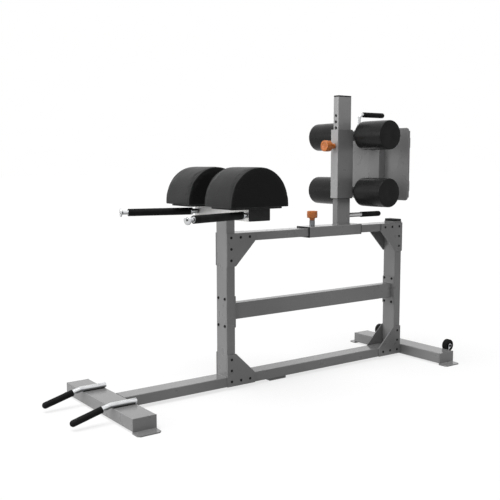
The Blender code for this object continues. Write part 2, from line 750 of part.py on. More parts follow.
def half_round_pad(middle):
    """The upholstered pad: a crowned half round with bulged ends, as rings bridged along Y."""
    shape = bmesh.new()
    half = PAD_LENGTH / 2
    centre = Vector((0.0, PAD_HEIGHT - PAD_WIDTH / 2))
    rings = []
    for along, inset, share in pad_stations():
        crown = PAD_CROWN * (1 - (along / half) ** 2) - PAD_CROWN
        outline = pad_outline(inset, crown)
        ring = []
        for x, z in outline:
            point = centre + (Vector((x, z)) - centre) * share
            ring.append(shape.verts.new((middle[0] + point.x, middle[1] + along, middle[2] + point.y)))
        rings.append(ring)
    for one, other in zip(rings, rings[1:]):
        count = len(one)
        for step in range(count):
            after = (step + 1) % count
            shape.faces.new((one[step], one[after], other[after], other[step]))
    shape.faces.new(rings[0])
    shape.faces.new(rings[-1])
    bmesh.ops.recalc_face_normals(shape, faces=shape.faces)
    mesh = bpy.data.meshes.new("pad")
    shape.to_mesh(mesh)
    shape.free()
    return mesh


def hip_pads():
    board_z = PAD_TUBE_LEVEL + PAD_TUBE_HEIGHT + SEAT
    x0 = POST_X - PAD_FORWARD
    for side_name, side in SIDES.items():
        y = side * (PAD_GAP / 2 + PAD_LENGTH / 2)
        size = (PAD_WIDTH - 2 * PAD_BOARD_INSET, PAD_LENGTH - 2 * PAD_BOARD_INSET)
        outline = rounded_outline(*size, PAD_BOARD_CORNER)
        board = prism([outline], PAD_BOARD, facing("z", (x0 + PAD_WIDTH / 2, y, board_z)))
        add(f"pad_board_{side_name}", board, black_plastic())
        middle = (x0 + PAD_WIDTH / 2, y, board_z + PAD_BOARD + SEAT)
        smooth(add(f"hip_pad_{side_name}", half_round_pad(middle), vinyl()), math.radians(60))


# Handles on the frame


def front_handles():
    """Two splayed handles on the front of the pad tube: a bar that flares to a disc, and its grip."""
    level = PAD_TUBE_LEVEL + PAD_TUBE_HEIGHT / 2
    grip_start = COLLAR_START + COLLAR_LENGTH + SEAT
    grip_end = HANDLE_LENGTH - HANDLE_BARE_END
    disc = HANDLE_LENGTH - DISC_THICK
    # the bar's root is cut square to the tube's face, so the slant leaves this much room
    root = (HANDLE_RADIUS + SEAT) * math.tan(HANDLE_SPLAY)
    bar = [(root, 0), (root, HANDLE_RADIUS), (COLLAR_START, HANDLE_RADIUS), (COLLAR_START, COLLAR_RADIUS)]
    bar += [(COLLAR_START + COLLAR_LENGTH, COLLAR_RADIUS), (COLLAR_START + COLLAR_LENGTH, HANDLE_RADIUS)]
    bar += [(grip_end - SEAT, HANDLE_RADIUS), (grip_end - SEAT, NECK_RADIUS)]
    flare = DISC_RADIUS - NECK_RADIUS
    bar += arc_profile(disc - flare, DISC_RADIUS, flare, -90, 0)
    bar += [(HANDLE_LENGTH - DISC_EDGE, DISC_RADIUS), (HANDLE_LENGTH, DISC_RADIUS - DISC_EDGE)]
    bar += [(HANDLE_LENGTH, DISC_RECESS_RADIUS), (HANDLE_LENGTH - DISC_RECESS, DISC_RECESS_RADIUS)]
    bar.append((HANDLE_LENGTH - DISC_RECESS, 0))
    bore = HANDLE_RADIUS + GRIP_CLEARANCE
    edge = GRIP_EDGE
    grip = [(grip_end, bore), (grip_start, bore)]
    grip += arc_profile(grip_start + edge, HANDLE_GRIP_RADIUS - edge, edge, 180, 90)
    grip += arc_profile(grip_end - edge, HANDLE_GRIP_RADIUS - edge, edge, 90, 0)
    for side_name, side in SIDES.items():
        start = (POST_X - SEAT, side * HANDLE_SPREAD, level)
        way = (-math.cos(HANDLE_SPLAY), side * math.sin(HANDLE_SPLAY), 0)
        smooth(add(f"front_handle_bar_{side_name}", turned(bar, start, way, HANDLE_SIDES), chrome()))
        mesh = turned(grip, start, way, HANDLE_SIDES, hollow=True)
        smooth(add(f"front_handle_grip_{side_name}", mesh, black_rubber()))


def floor_handles():
    """Two bars across the front foot that bend down in front of it, each with a round-ended grip."""
    level = BASE_TOP + SEAT + FLOOR_HANDLE_RADIUS
    tail_x = POST_X - FRONT_FOOT_REACH + FLOOR_HANDLE_TAIL
    corner_x = POST_X + FLOOR_CORNER_X
    way = Vector((-math.cos(FLOOR_HANDLE_SLOPE), 0, -math.sin(FLOOR_HANDLE_SLOPE)))
    bar_end = FLOOR_GRIP_LENGTH - 2 * FLOOR_GRIP_RADIUS
    for side_name, side in SIDES.items():
        y = side * FLOOR_HANDLE_SPREAD
        corner = Vector((corner_x, y, level))
        tip = corner + way * (FLOOR_GRIP_START + bar_end)
        mesh = bent_bar([(tail_x, y, level), corner, tip], FLOOR_HANDLE_BEND, FLOOR_HANDLE_RADIUS)
        smooth(add(f"floor_handle_bar_{side_name}", mesh, chrome()))
        grip = blind_grip(FLOOR_GRIP_LENGTH, FLOOR_HANDLE_RADIUS, bar_end, GRIP_WALL)
        mesh = turned(grip, corner + way * FLOOR_GRIP_START, way, HANDLE_SIDES)
        smooth(add(f"floor_handle_grip_{side_name}", mesh, black_rubber()))


# Transport wheels


def wheel_profile():
    """Half of a small solid wheel: a crowned tread, a recessed web and a hub with its bore."""
    half = WHEEL_WIDTH / 2
    bore = AXLE_BOLT_RADIUS + AXLE_CLEARANCE
    rim = WHEEL_RADIUS - 3 * WHEEL_CROWN / 2
    profile = [(-half, bore), (-half, HUB_RADIUS), (-half + HUB_RECESS, HUB_FOOT_RADIUS)]
    profile += [(-half + HUB_RECESS, RIM_RADIUS), (-half, RIM_RADIUS + RIM_SLOPE), (-half, rim)]
    profile += arc_profile(-half + WHEEL_CROWN, WHEEL_RADIUS - WHEEL_CROWN, WHEEL_CROWN, 150, 90, 2)
    return profile + [(-along, radius) for along, radius in reversed(profile)]


def wheel_bracket(name, side):
    """A channel behind the foot with round side plates, and the axle bolt through them."""
    foot_x = POST_X + REAR_FOOT_REAR + SEAT
    axle_x = POST_X + WHEEL_X
    inner = WHEEL_WIDTH / 2 + BRACKET_SIDE_GAP
    outer = inner + BRACKET_PLATE
    reach = axle_x - foot_x + BRACKET_ROUND
    channel = [(0, -outer), (reach, -outer), (reach, -inner), (BRACKET_PLATE, -inner)]
    channel += [(BRACKET_PLATE, inner), (reach, inner), (reach, outer), (0, outer)]
    tall = WHEEL_LEVEL + BRACKET_ROUND - BRACKET_FOOT
    frame = Matrix.Translation((foot_x, side * WHEEL_SPREAD, BRACKET_FOOT))
    bracket = add(name, prism([channel], tall, frame), zinc_plate())
    # facing("y") takes height first, then X
    side_outline = [(BRACKET_FOOT - PAST, foot_x - PAST), (BRACKET_SHOULDER, foot_x - PAST)]
    side_outline.append((BRACKET_SHOULDER, axle_x - BRACKET_ROUND))
    for step in range(BRACKET_STEPS + 1):
        turn = math.pi - 1.5 * math.pi * step / BRACKET_STEPS
        arm = (BRACKET_ROUND * math.sin(turn), BRACKET_ROUND * math.cos(turn))
        side_outline.append((WHEEL_LEVEL + arm[0], axle_x + arm[1]))
    side_outline.append((BRACKET_FOOT - PAST, foot_x + BRACKET_PLATE))
    length = 2 * (outer + PAST)
    y = side * WHEEL_SPREAD - length / 2
    boolean(bracket, prism([side_outline], length, facing("y", (0, y, 0))), "INTERSECT")
    bolt_y = side * WHEEL_SPREAD - outer + BRACKET_PLATE / 2
    bolt = rod((axle_x, bolt_y, WHEEL_LEVEL), (0, 1, 0), 2 * outer - BRACKET_PLATE, AXLE_BOLT_RADIUS)
    boolean(bracket, bolt, "UNION")


def wheels():
    for side_name, side in SIDES.items():
        wheel_bracket(f"wheel_bracket_{side_name}", side)
        at = (POST_X + WHEEL_X, side * WHEEL_SPREAD, WHEEL_LEVEL)
        axle = axis_empty(f"wheel_axis_{side_name}", at)
        mesh = turned(wheel_profile(), at, (0, 1, 0), WHEEL_SIDES, hollow=True)
        smooth(add(f"transport_wheel_{side_name}", mesh, black_rubber(), axle))


# Slider and mast


def pop_pin(name, face, way, barrel_length, nose, parent):
    """A pull pin: a knob on a stem that runs through the barrel to just short of the inner tube."""
    stem = [(-nose, 0), (-nose, PIN_RADIUS - PIN_TIP), (-nose + PIN_TIP, PIN_RADIUS)]
    neck = barrel_length + 2 * SEAT
    top = neck + KNOB_LENGTH
    knob = [(neck, PIN_RADIUS), (neck, KNOB_FOOT_RADIUS)]
    knob += arc_profile(neck + KNOB_EDGE, KNOB_RADIUS - KNOB_EDGE, KNOB_EDGE, 180, 90)
    knob += arc_profile(top - KNOB_EDGE, KNOB_RADIUS - KNOB_EDGE, KNOB_EDGE, 90, 0)
    knob += [(top, KNOB_DISH_RADIUS), (top - KNOB_DISH, KNOB_DISH_RADIUS - KNOB_DISH), (top - KNOB_DISH, 0)]
    smooth(add(name, turned(stem + knob, face, way, KNOB_SIDES), orange_plastic(), parent))


def barrel(thing, face, way, length, sink):
    """Joins a pin barrel to a sleeve, sunk into its wall, and bores both."""
    way = Vector(way)
    start = Vector(face) - way * sink
    boolean(thing, rod(start, way, length + sink, BARREL_RADIUS, HANDLE_SIDES), "UNION")
    boolean(thing, rod(start - way * WALL * 2, way, length + sink + WALL * 4, PIN_HOLE / 2, BAR_SIDES))


def slider(axis):
    """The sleeve on the top beam and the liner inside it."""
    liner_gap = RUNNING_GAP
    inner = [TUBE_WIDTH + 2 * liner_gap, TOP_BEAM_HEIGHT + 2 * liner_gap]
    liner = [size + 2 * LINER for size in inner]
    bore = [size + 2 * SEAT for size in liner]
    outer = [size + 2 * WALL for size in bore]
    level = TOP_LEVEL - TOP_BEAM_HEIGHT / 2
    start = (POST_X + SLIDER_FRONT, 0, level)
    frame = facing("x", start)
    walls = [rounded_outline(*outer, TUBE_CORNER), rounded_outline(*bore, TUBE_CORNER)]
    sleeve = smooth(add("slider_sleeve", prism(walls, SLIDER_LENGTH, frame), frame_paint(), axis))
    ring = [rounded_outline(*liner, TUBE_CORNER), rounded_outline(*inner, TUBE_CORNER)]
    lining = smooth(add("slider_liner", prism(ring, SLIDER_LENGTH, frame), liner_plastic(), axis))
    top = level + outer[1] / 2
    face = (POST_X + SLIDE_PIN_X, 0, top)
    barrel(sleeve, face, (0, 0, 1), SLIDE_BARREL_LENGTH, WALL * 2 / 3)
    hole = rod((face[0], 0, TOP_LEVEL - WALL), (0, 0, 1), WALL + 2 * LINER, PIN_HOLE / 2)
    boolean(lining, hole)
    return top


def mast(axis, foot):
    """The mast on the slider, its holes and cap, and the handle that pulls the slider."""
    x = POST_X + MAST_FRONT + MAST_DEPTH / 2
    top = MAST_TOP - MAST_CAP - SEAT
    size = (MAST_DEPTH, MAST_WIDTH)
    start = (x, 0, foot + SEAT)
    mesh = section("z", start, top - start[2], size, TUBE_CORNER, WALL)
    tube = smooth(add("mast", mesh, frame_paint(), axis))
    steps = range(-LIFT_STEPS_DOWN, LIFT_STEPS_UP + 1)
    front = POST_X + MAST_FRONT
    holes = [(front - WALL, 0, LIFT_PIN_LEVEL + step * LIFT_PITCH) for step in steps]
    boolean(tube, rods(holes, (1, 0, 0), 4 * WALL, PIN_HOLE / 2))
    cap = prism([rounded_outline(*size, TUBE_CORNER)], MAST_CAP, facing("z", (x, 0, top + SEAT)))
    inner = [length - 2 * (WALL + CAP_CLEARANCE) for length in size]
    plug_frame = facing("z", (x, 0, top + SEAT - CAP_PLUG))
    plug = prism([rounded_outline(*inner, TUBE_CORNER - WALL)], CAP_PLUG + MAST_CAP / 2, plug_frame)
    boolean(add("mast_cap", cap, black_plastic(), axis), plug, "UNION")
    root = Vector((front + MAST_DEPTH + SEAT, 0, SLIDE_HANDLE_LEVEL))
    bar_end = SLIDE_HANDLE_GRIP_LENGTH - 2 * (SLIDE_HANDLE_RADIUS + GRIP_WALL)
    bar = rod(root, (1, 0, 0), SLIDE_HANDLE_GRIP_START + bar_end, SLIDE_HANDLE_RADIUS)
    smooth(add("slide_handle_bar", bar, chrome(), axis))
    grip = blind_grip(SLIDE_HANDLE_GRIP_LENGTH, SLIDE_HANDLE_RADIUS, bar_end, GRIP_WALL)
    grip_root = root + Vector((SLIDE_HANDLE_GRIP_START, 0, 0))
    smooth(add("slide_handle_grip", turned(grip, grip_root, (1, 0, 0), HANDLE_SIDES), black_rubber(), axis))


# Carriage


def mast_sleeve(axis):
    """The sleeve on the mast, with its pin barrel, and the liner inside it."""
    middle = POST_X + MAST_FRONT + MAST_DEPTH / 2
    inner = (MAST_DEPTH + 2 * RUNNING_GAP, MAST_WIDTH + 2 * RUNNING_GAP)
    liner = (inner[0] + 2 * SLEEVE_LINER_X, inner[1] + 2 * SLEEVE_LINER_Y)
    bore = [size + 2 * SEAT for size in liner]
    outer = [size + 2 * SLEEVE_WALL for size in bore]
    start = facing("z", (middle, 0, SLEEVE_BOTTOM))
    walls = [rounded_outline(*outer, TUBE_CORNER), rounded_outline(*bore, SLEEVE_BORE_CORNER)]
    sleeve = smooth(add("mast_sleeve", prism(walls, SLEEVE_HEIGHT, start), frame_paint(), axis))
    ring = [rounded_outline(*liner, SLEEVE_BORE_CORNER), rounded_outline(*inner, TUBE_CORNER)]
    lining = smooth(add("mast_sleeve_liner", prism(ring, SLEEVE_HEIGHT, start), liner_plastic(), axis))
    front = middle - outer[0] / 2
    rear = middle + outer[0] / 2
    top = SLEEVE_TOP
    cut = SLEEVE_CHAMFER + PAST
    # facing("y") takes height first, then X
    wedge = [(top - SLEEVE_CHAMFER, rear), (top + PAST, rear - cut)]
    wedge += [(top + PAST, rear + PAST), (top - SLEEVE_CHAMFER, rear + PAST)]
    for piece in (sleeve, lining):
        boolean(piece, prism([wedge], outer[1] + 2 * PAST, facing("y", (0, -outer[1] / 2 - PAST, 0))))
    barrel(sleeve, (front, 0, LIFT_PIN_LEVEL), (-1, 0, 0), LIFT_BARREL_LENGTH, SLEEVE_WALL * 2 / 3)
    reach = outer[0] / 2 - MAST_DEPTH / 2
    hole = rod((front + SLEEVE_WALL / 2, 0, LIFT_PIN_LEVEL), (1, 0, 0), reach, PIN_HOLE / 2)
    boolean(lining, hole)
    return front, rear


def carriage_frame(axis, sleeve_rear):
    """Two arms through an upright brace to a spine behind the plates, and two straps: all tube, welded."""
    front = POST_X + PLATE_X + PLATE_LIP + SEAT
    half = SPINE_WIDTH / 2
    start = (front + SPINE_DEPTH / 2, 0, PLATE_BOTTOM)
    spine = section("z", start, PLATE_TALL, (SPINE_DEPTH, SPINE_WIDTH), TUBE_CORNER, FRAME_WALL)
    frame = add("foot_plate_frame", spine, frame_paint(), axis)
    start = (POST_X + PLATE_X - SEAT - BRACE_DEPTH / 2, 0, PLATE_BOTTOM + BRACE_SHORT)
    size = (BRACE_DEPTH, BRACE_WIDTH)
    brace = section("z", start, PLATE_TALL - 2 * BRACE_SHORT, size, TUBE_CORNER, FRAME_WALL)
    boolean(frame, brace, "UNION")
    # the brace's walls are open where the arms pass through
    window_front = POST_X + PLATE_X - BRACE_DEPTH - PAST
    window_rear = POST_X + PLATE_X + PLATE_THICK / 2
    window_half = (ARM_WIDTH - FRAME_WALL) / 2
    for level in (UPPER_ROLLER_LEVEL, LOWER_ROLLER_LEVEL):
        rise = (ARM_HEIGHT - FRAME_WALL) / 2
        boolean(frame, block((window_front, -window_half, level - rise), (window_rear, window_half, level + rise)))
    arm_root = sleeve_rear + SEAT
    for level in (UPPER_ROLLER_LEVEL, LOWER_ROLLER_LEVEL):
        size = (ARM_WIDTH, ARM_HEIGHT)
        arm = section("x", (arm_root, 0, level), front + FRAME_SINK - arm_root, size, TUBE_CORNER, FRAME_WALL)
        boolean(frame, arm, "UNION")
    for level in (UPPER_STRAP_LEVEL, LOWER_STRAP_LEVEL):
        for side in SIDES.values():
            strap_end = PLATE_HALF - STRAP_SHORT
            start = half - FRAME_SINK if side > 0 else -strap_end
            length = strap_end - half + FRAME_SINK
            at = (front + STRAP_DEPTH / 2, start, level)
            strap = section("y", at, length, (STRAP_HEIGHT, STRAP_DEPTH), TUBE_CORNER, FRAME_WALL)
            boolean(frame, strap, "UNION")
    axle_hole = ROLLER_AXLE_RADIUS + SEAT
    for level in (UPPER_ROLLER_LEVEL, LOWER_ROLLER_LEVEL):
        at = (POST_X + ROLLER_X, -ARM_WIDTH, level)
        boolean(frame, rod(at, (0, 1, 0), 2 * ARM_WIDTH, axle_hole, HANDLE_SIDES))
    smooth(frame)


def foot_plates(axis):
    """Two plates side by side in front of the spine and straps, each with its upright sides bent back."""
    width = PLATE_HALF - PLATE_GAP / 2
    level = PLATE_BOTTOM + PLATE_TALL / 2
    for side_name, side in SIDES.items():
        y = side * (PLATE_GAP / 2 + width / 2)
        outline = rounded_outline(width, PLATE_TALL, PLATE_CORNER)
        face = prism([outline], PLATE_THICK, facing("x", (POST_X + PLATE_X, y, level)))
        plate = add(f"foot_plate_{side_name}", face, frame_paint(), axis)
        for edge in (-1, 1):
            lip_y = y + edge * (width - PLATE_THICK) / 2
            low = (POST_X + PLATE_X + PLATE_THICK / 2, lip_y - PLATE_THICK / 2, PLATE_BOTTOM + PLATE_CORNER)
            high = (POST_X + PLATE_X + PLATE_LIP, lip_y + PLATE_THICK / 2, PLATE_BOTTOM + PLATE_TALL - PLATE_CORNER)
            boolean(plate, block(low, high), "UNION")


def roller_axle(name, level, axis):
    """An axle across both arms, with a thrust collar at each roller's inner face."""
    collar = ROLLER_INNER - SEAT
    end = ROLLER_INNER + ROLLER_LENGTH - ROLLER_END - ROLLER_CLEARANCE
    half = [(collar - THRUST_LENGTH, ROLLER_AXLE_RADIUS), (collar - THRUST_LENGTH, THRUST_RADIUS)]
    half += [(collar, THRUST_RADIUS), (collar, ROLLER_AXLE_RADIUS), (end, ROLLER_AXLE_RADIUS), (end, 0)]
    profile = [(-along, radius) for along, radius in reversed(half)] + half
    mesh = turned(profile, (POST_X + ROLLER_X, 0, level), (0, 1, 0), HANDLE_SIDES)
    smooth(add(name, mesh, dark_steel(), axis))


def roller(name, level, side, parent):
    """A foam roller with rounded ends, open to its axle on the inner side only."""
    bore = ROLLER_AXLE_RADIUS + ROLLER_CLEARANCE
    bore_end = ROLLER_LENGTH - ROLLER_END
    profile = [(bore_end, 0), (bore_end, bore), (0, bore)]
    profile += arc_profile(ROLLER_EDGE, ROLLER_RADIUS - ROLLER_EDGE, ROLLER_EDGE, 180, 90)
    profile += arc_profile(ROLLER_LENGTH - ROLLER_EDGE, ROLLER_RADIUS - ROLLER_EDGE, ROLLER_EDGE, 90, 0)
    profile.append((ROLLER_LENGTH, 0))
    at = (POST_X + ROLLER_X, side * ROLLER_INNER, level)
    axle = axis_empty(f"{name}_axis", at, parent)
    smooth(add(name, turned(profile, at, (0, side, 0), ROLLER_SIDES), foam(), axle))


def rollers(axis):
    for level_name, level in (("upper", UPPER_ROLLER_LEVEL), ("lower", LOWER_ROLLER_LEVEL)):
        roller_axle(f"{level_name}_roller_axle", level, axis)
        for side_name, side in SIDES.items():
            roller(f"{level_name}_roller_{side_name}", level, side, axis)


def lift_handle(axis):
    """The bent bar on the upper arm and its grip, to raise the carriage by."""
    arm_top = UPPER_ROLLER_LEVEL + ARM_HEIGHT / 2 + SEAT
    x = POST_X + LIFT_HANDLE_X
    bar_end = LIFT_GRIP_LENGTH - 2 * (LIFT_HANDLE_RADIUS + LIFT_GRIP_WALL)
    corner = Vector((x, 0, LIFT_HANDLE_LEVEL))
    tip = corner + Vector((LIFT_GRIP_START + bar_end, 0, 0))
    mesh = bent_bar([(x, 0, arm_top), corner, tip], LIFT_HANDLE_BEND, LIFT_HANDLE_RADIUS, 8)
    smooth(add("lift_handle_bar", mesh, chrome(), axis))
    grip = blind_grip(LIFT_GRIP_LENGTH, LIFT_HANDLE_RADIUS, bar_end, LIFT_GRIP_WALL)
    grip_root = corner + Vector((LIFT_GRIP_START, 0, 0))
    smooth(add("lift_handle_grip", turned(grip, grip_root, (1, 0, 0), HANDLE_SIDES), black_rubber(), axis))


def moving_assembly():
    """Everything that runs on the top beam, each piece under the empty of the axis that it moves on."""
    slide_axis = axis_empty("slide_axis", (POST_X + MAST_FRONT + MAST_DEPTH / 2, 0, TOP_LEVEL))
    slider_top = slider(slide_axis)
    mast(slide_axis, slider_top)
    slide_pin_at = (POST_X + SLIDE_PIN_X, 0, slider_top)
    slide_pin_axis = axis_empty("slide_pin_axis", slide_pin_at, slide_axis)
    slide_nose = slider_top - TOP_LEVEL - PIN_NOSE_GAP
    pop_pin("slide_pin", slide_pin_at, (0, 0, 1), SLIDE_BARREL_LENGTH, slide_nose, slide_pin_axis)
    lift_axis = axis_empty("lift_axis", (POST_X + MAST_FRONT + MAST_DEPTH / 2, 0, SLEEVE_BOTTOM), slide_axis)
    sleeve_front, sleeve_rear = mast_sleeve(lift_axis)
    lift_pin_at = (sleeve_front, 0, LIFT_PIN_LEVEL)
    lift_pin_axis = axis_empty("lift_pin_axis", lift_pin_at, lift_axis)
    lift_nose = POST_X + MAST_FRONT - sleeve_front - PIN_NOSE_GAP
    pop_pin("lift_pin", lift_pin_at, (-1, 0, 0), LIFT_BARREL_LENGTH, lift_nose, lift_pin_axis)
    carriage_frame(lift_axis, sleeve_rear)
    foot_plates(lift_axis)
    rollers(lift_axis)
    lift_handle(lift_axis)


def build():
    for thing in list(bpy.data.objects):
        bpy.data.objects.remove(thing, do_unlink=True)
    for end, x in (("front", FRONT_FOOT_X), ("rear", REAR_FOOT_X)):
        cross_foot(f"{end}_cross_foot", x)
        for side_name, side in SIDES.items():
            foot_end(f"{end}_foot_end_{side_name}", x, side)
    base_beam()
    posts()
    rear_post_cap()
    top_beam()
    mid_beam()
    gussets()
    pad_cross_tube()
    hip_pads()
    front_handles()
    floor_handles()
    wheels()
    moving_assembly()


build()
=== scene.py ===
"""The looks of a glute ham bench: finishes, upholstery, fasteners, camera and studio.

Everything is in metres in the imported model's frame: +X runs from the hip pads to the foot plate, and
the bench is alike on both sides of Y = 0. "near" is the side at -Y, which the camera sees.
"""

import json
import logging
import math
from collections.abc import Iterable, Sequence
from dataclasses import dataclass
from enum import Enum

import bmesh
import bpy
from mathutils import Matrix, Vector


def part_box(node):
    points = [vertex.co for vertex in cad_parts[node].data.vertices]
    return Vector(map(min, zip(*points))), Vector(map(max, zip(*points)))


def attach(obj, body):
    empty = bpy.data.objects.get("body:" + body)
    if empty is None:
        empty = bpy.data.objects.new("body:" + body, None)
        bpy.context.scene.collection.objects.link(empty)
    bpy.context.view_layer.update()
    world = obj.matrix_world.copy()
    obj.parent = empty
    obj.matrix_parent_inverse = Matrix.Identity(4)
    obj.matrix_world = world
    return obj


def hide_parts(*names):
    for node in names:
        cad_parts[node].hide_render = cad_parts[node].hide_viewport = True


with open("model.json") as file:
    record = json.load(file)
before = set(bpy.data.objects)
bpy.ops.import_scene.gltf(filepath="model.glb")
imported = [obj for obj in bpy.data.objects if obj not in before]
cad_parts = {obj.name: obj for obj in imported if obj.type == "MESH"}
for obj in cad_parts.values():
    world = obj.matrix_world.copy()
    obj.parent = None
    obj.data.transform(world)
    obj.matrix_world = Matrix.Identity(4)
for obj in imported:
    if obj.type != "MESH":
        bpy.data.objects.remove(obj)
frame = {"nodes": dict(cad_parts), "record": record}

LOG = logging.getLogger("bench")
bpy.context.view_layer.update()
POST_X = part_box("front_post")[0].x
Profile = Sequence[tuple[float, float]]
Triple = tuple[float, float, float]
Socket = bpy.types.NodeSocket


class Side(Enum):
    """The two sides of the bench, with the sign of Y there."""

    NEAR = -1
    FAR = 1

    @property
    def word(self) -> str:
        """The side's name in the node names."""
        return self.name.lower()


class Body(Enum):
    """The bodies that this script names."""

    ROOT = "root"
    SLIDER = "slider"
    SLIDE_PIN = "slide_pin"
    CARRIAGE = "carriage"
    LIFT_PIN = "lift_pin"


class Slot(Enum):
    """The record's material slots."""

    PAINT = "frame_paint"
    PLASTIC = "black_plastic"
    RUBBER = "black_rubber"
    CHROME = "chrome"
    DARK_STEEL = "dark_steel"
    ORANGE = "orange_plastic"
    VINYL = "vinyl"
    FOAM = "foam"
    LINER = "liner_plastic"
    ZINC = "zinc_plate"


class HeadForm(Enum):
    """Forms of a bolt head, with the number of sides of each."""

    BUTTON = 28
    HEX = 6


# Finishes


class ShaderBook:
    """A material's node tree, with short calls that add its nodes and join them."""

    def __init__(self, name: str) -> None:
        """Starts a material called name, with its Principled BSDF and its Object coordinates."""
        self.material = bpy.data.materials.new(name)
        self.material.use_nodes = True
        self.tree = self.material.node_tree
        self.shader = self.tree.nodes["Principled BSDF"]
        self.place = self.add("ShaderNodeTexCoord").outputs["Object"]

    def add(self, kind: str, **settings: object) -> bpy.types.Node:
        """Adds a node of a kind, with its settings."""
        node = self.tree.nodes.new(kind)
        for name, value in settings.items():
            setattr(node, name, value)
        return node

    def join(self, output: Socket, goal: Socket) -> None:
        """Links an output to an input."""
        self.tree.links.new(output, goal)

    def put(self, **values: object) -> None:
        """Sets the shader's own sockets, with _ for a space in their names."""
        for name, value in values.items():
            self.shader.inputs[name.replace("_", " ")].default_value = value

    def noise(self, scale: float, detail: float = 2.0, stretch: Sequence[float] | None = None) -> Socket:
        """Noise on the object's place, with an optional stretch along the axes."""
        node = self.add("ShaderNodeTexNoise")
        node.inputs["Scale"].default_value = scale
        node.inputs["Detail"].default_value = detail
        source = self.place
        if stretch is not None:
            mapping = self.add("ShaderNodeMapping")
            mapping.inputs["Scale"].default_value = stretch
            self.join(self.place, mapping.inputs["Vector"])
            source = mapping.outputs["Vector"]
        self.join(source, node.inputs["Vector"])
        return node.outputs["Fac"]

    def cells(self, scale: float) -> Socket:
        """The distance to the edge of a Voronoi cell, for a leather grain."""
        node = self.add("ShaderNodeTexVoronoi", feature="DISTANCE_TO_EDGE")
        node.inputs["Scale"].default_value = scale
        self.join(self.place, node.inputs["Vector"])
        return node.outputs["Distance"]

    def spread(self, value: Socket, span: tuple[float, float], to: tuple[float, float]) -> Socket:
        """Maps a span of a value to another span.

        Args:
            value: the output to map.
            span: the two values that are read.
            to: the two values that they become.

        Returns:
            The mapped output.
        """
        node = self.add("ShaderNodeMapRange")
        for name, number in zip(("From Min", "From Max", "To Min", "To Max"), (*span, *to)):
            node.inputs[name].default_value = number
        self.join(value, node.inputs["Value"])
        return node.outputs["Result"]

    def blend(self, factor: Socket, low: object, high: object) -> Socket:
        """Mixes two colours, each a tuple or an output, by a factor."""
        node = self.add("ShaderNodeMix", data_type="RGBA")
        self.join(factor, node.inputs["Factor"])
        for name, colour in (("A", low), ("B", high)):
            socket = next(s for s in node.inputs if s.name == name and s.type == "RGBA")
            if isinstance(colour, tuple):
                socket.default_value = (*colour, 1.0)
            else:
                self.join(colour, socket)
        return next(s for s in node.outputs if s.type == "RGBA")

    def bump(self, height: Socket, distance: float, strength: float, under: Socket | None = None) -> Socket:
        """A bump of a height map.

        Args:
            height: the height, from 0 to 1.
            distance: how deep it is, in metres.
            strength: the share of it that shows.
            under: a coarser bump's normal that this one lies on.

        Returns:
            The normal output.
        """
        node = self.add("ShaderNodeBump")
        node.inputs["Distance"].default_value = distance
        node.inputs["Strength"].default_value = strength
        self.join(height, node.inputs["Height"])
        if under is not None:
            self.join(under, node.inputs["Normal"])
        return node.outputs["Normal"]

    def edge(self, radius: float) -> Socket:
        """How near a sharp edge a point is: 0 on flat faces, up to 1 on edges."""
        bevel = self.add("ShaderNodeBevel", samples=4)
        bevel.inputs["Radius"].default_value = radius
        geometry = self.add("ShaderNodeNewGeometry")
        likeness = self.add("ShaderNodeVectorMath", operation="DOT_PRODUCT")
        self.join(bevel.outputs["Normal"], likeness.inputs[0])
        self.join(geometry.outputs["Normal"], likeness.inputs[1])
        return self.spread(likeness.outputs["Value"], (0.82, 0.99), (1.0, 0.0))

    def facing(self, way: Triple) -> Socket:
        """How far the surface faces a direction, from -1 to 1."""
        node = self.add("ShaderNodeVectorMath", operation="DOT_PRODUCT")
        self.join(self.add("ShaderNodeNewGeometry").outputs["Normal"], node.inputs[0])
        node.inputs[1].default_value = Vector(way).normalized()
        return node.outputs["Value"]

    def colour(self, output: Socket) -> None:
        """Drives the base colour."""
        self.join(output, self.shader.inputs["Base Color"])

    def roughness(self, output: Socket) -> None:
        """Drives the roughness."""
        self.join(output, self.shader.inputs["Roughness"])

    def normal(self, output: Socket) -> None:
        """Drives the normal."""
        self.join(output, self.shader.inputs["Normal"])


class Finish:
    """A finish, made into one material when it is first asked for."""

    made: dict[str, bpy.types.Material] = {}
    name = "finish"
    slot = Slot.PAINT

    def material(self) -> bpy.types.Material:
        """The finish's material, made once."""
        if self.name not in Finish.made:
            book = ShaderBook(self.name)
            self.write(book)
            Finish.made[self.name] = book.material
        return Finish.made[self.name]

    def write(self, book: ShaderBook) -> None:
        """Writes the finish's nodes into a book."""
        raise NotImplementedError


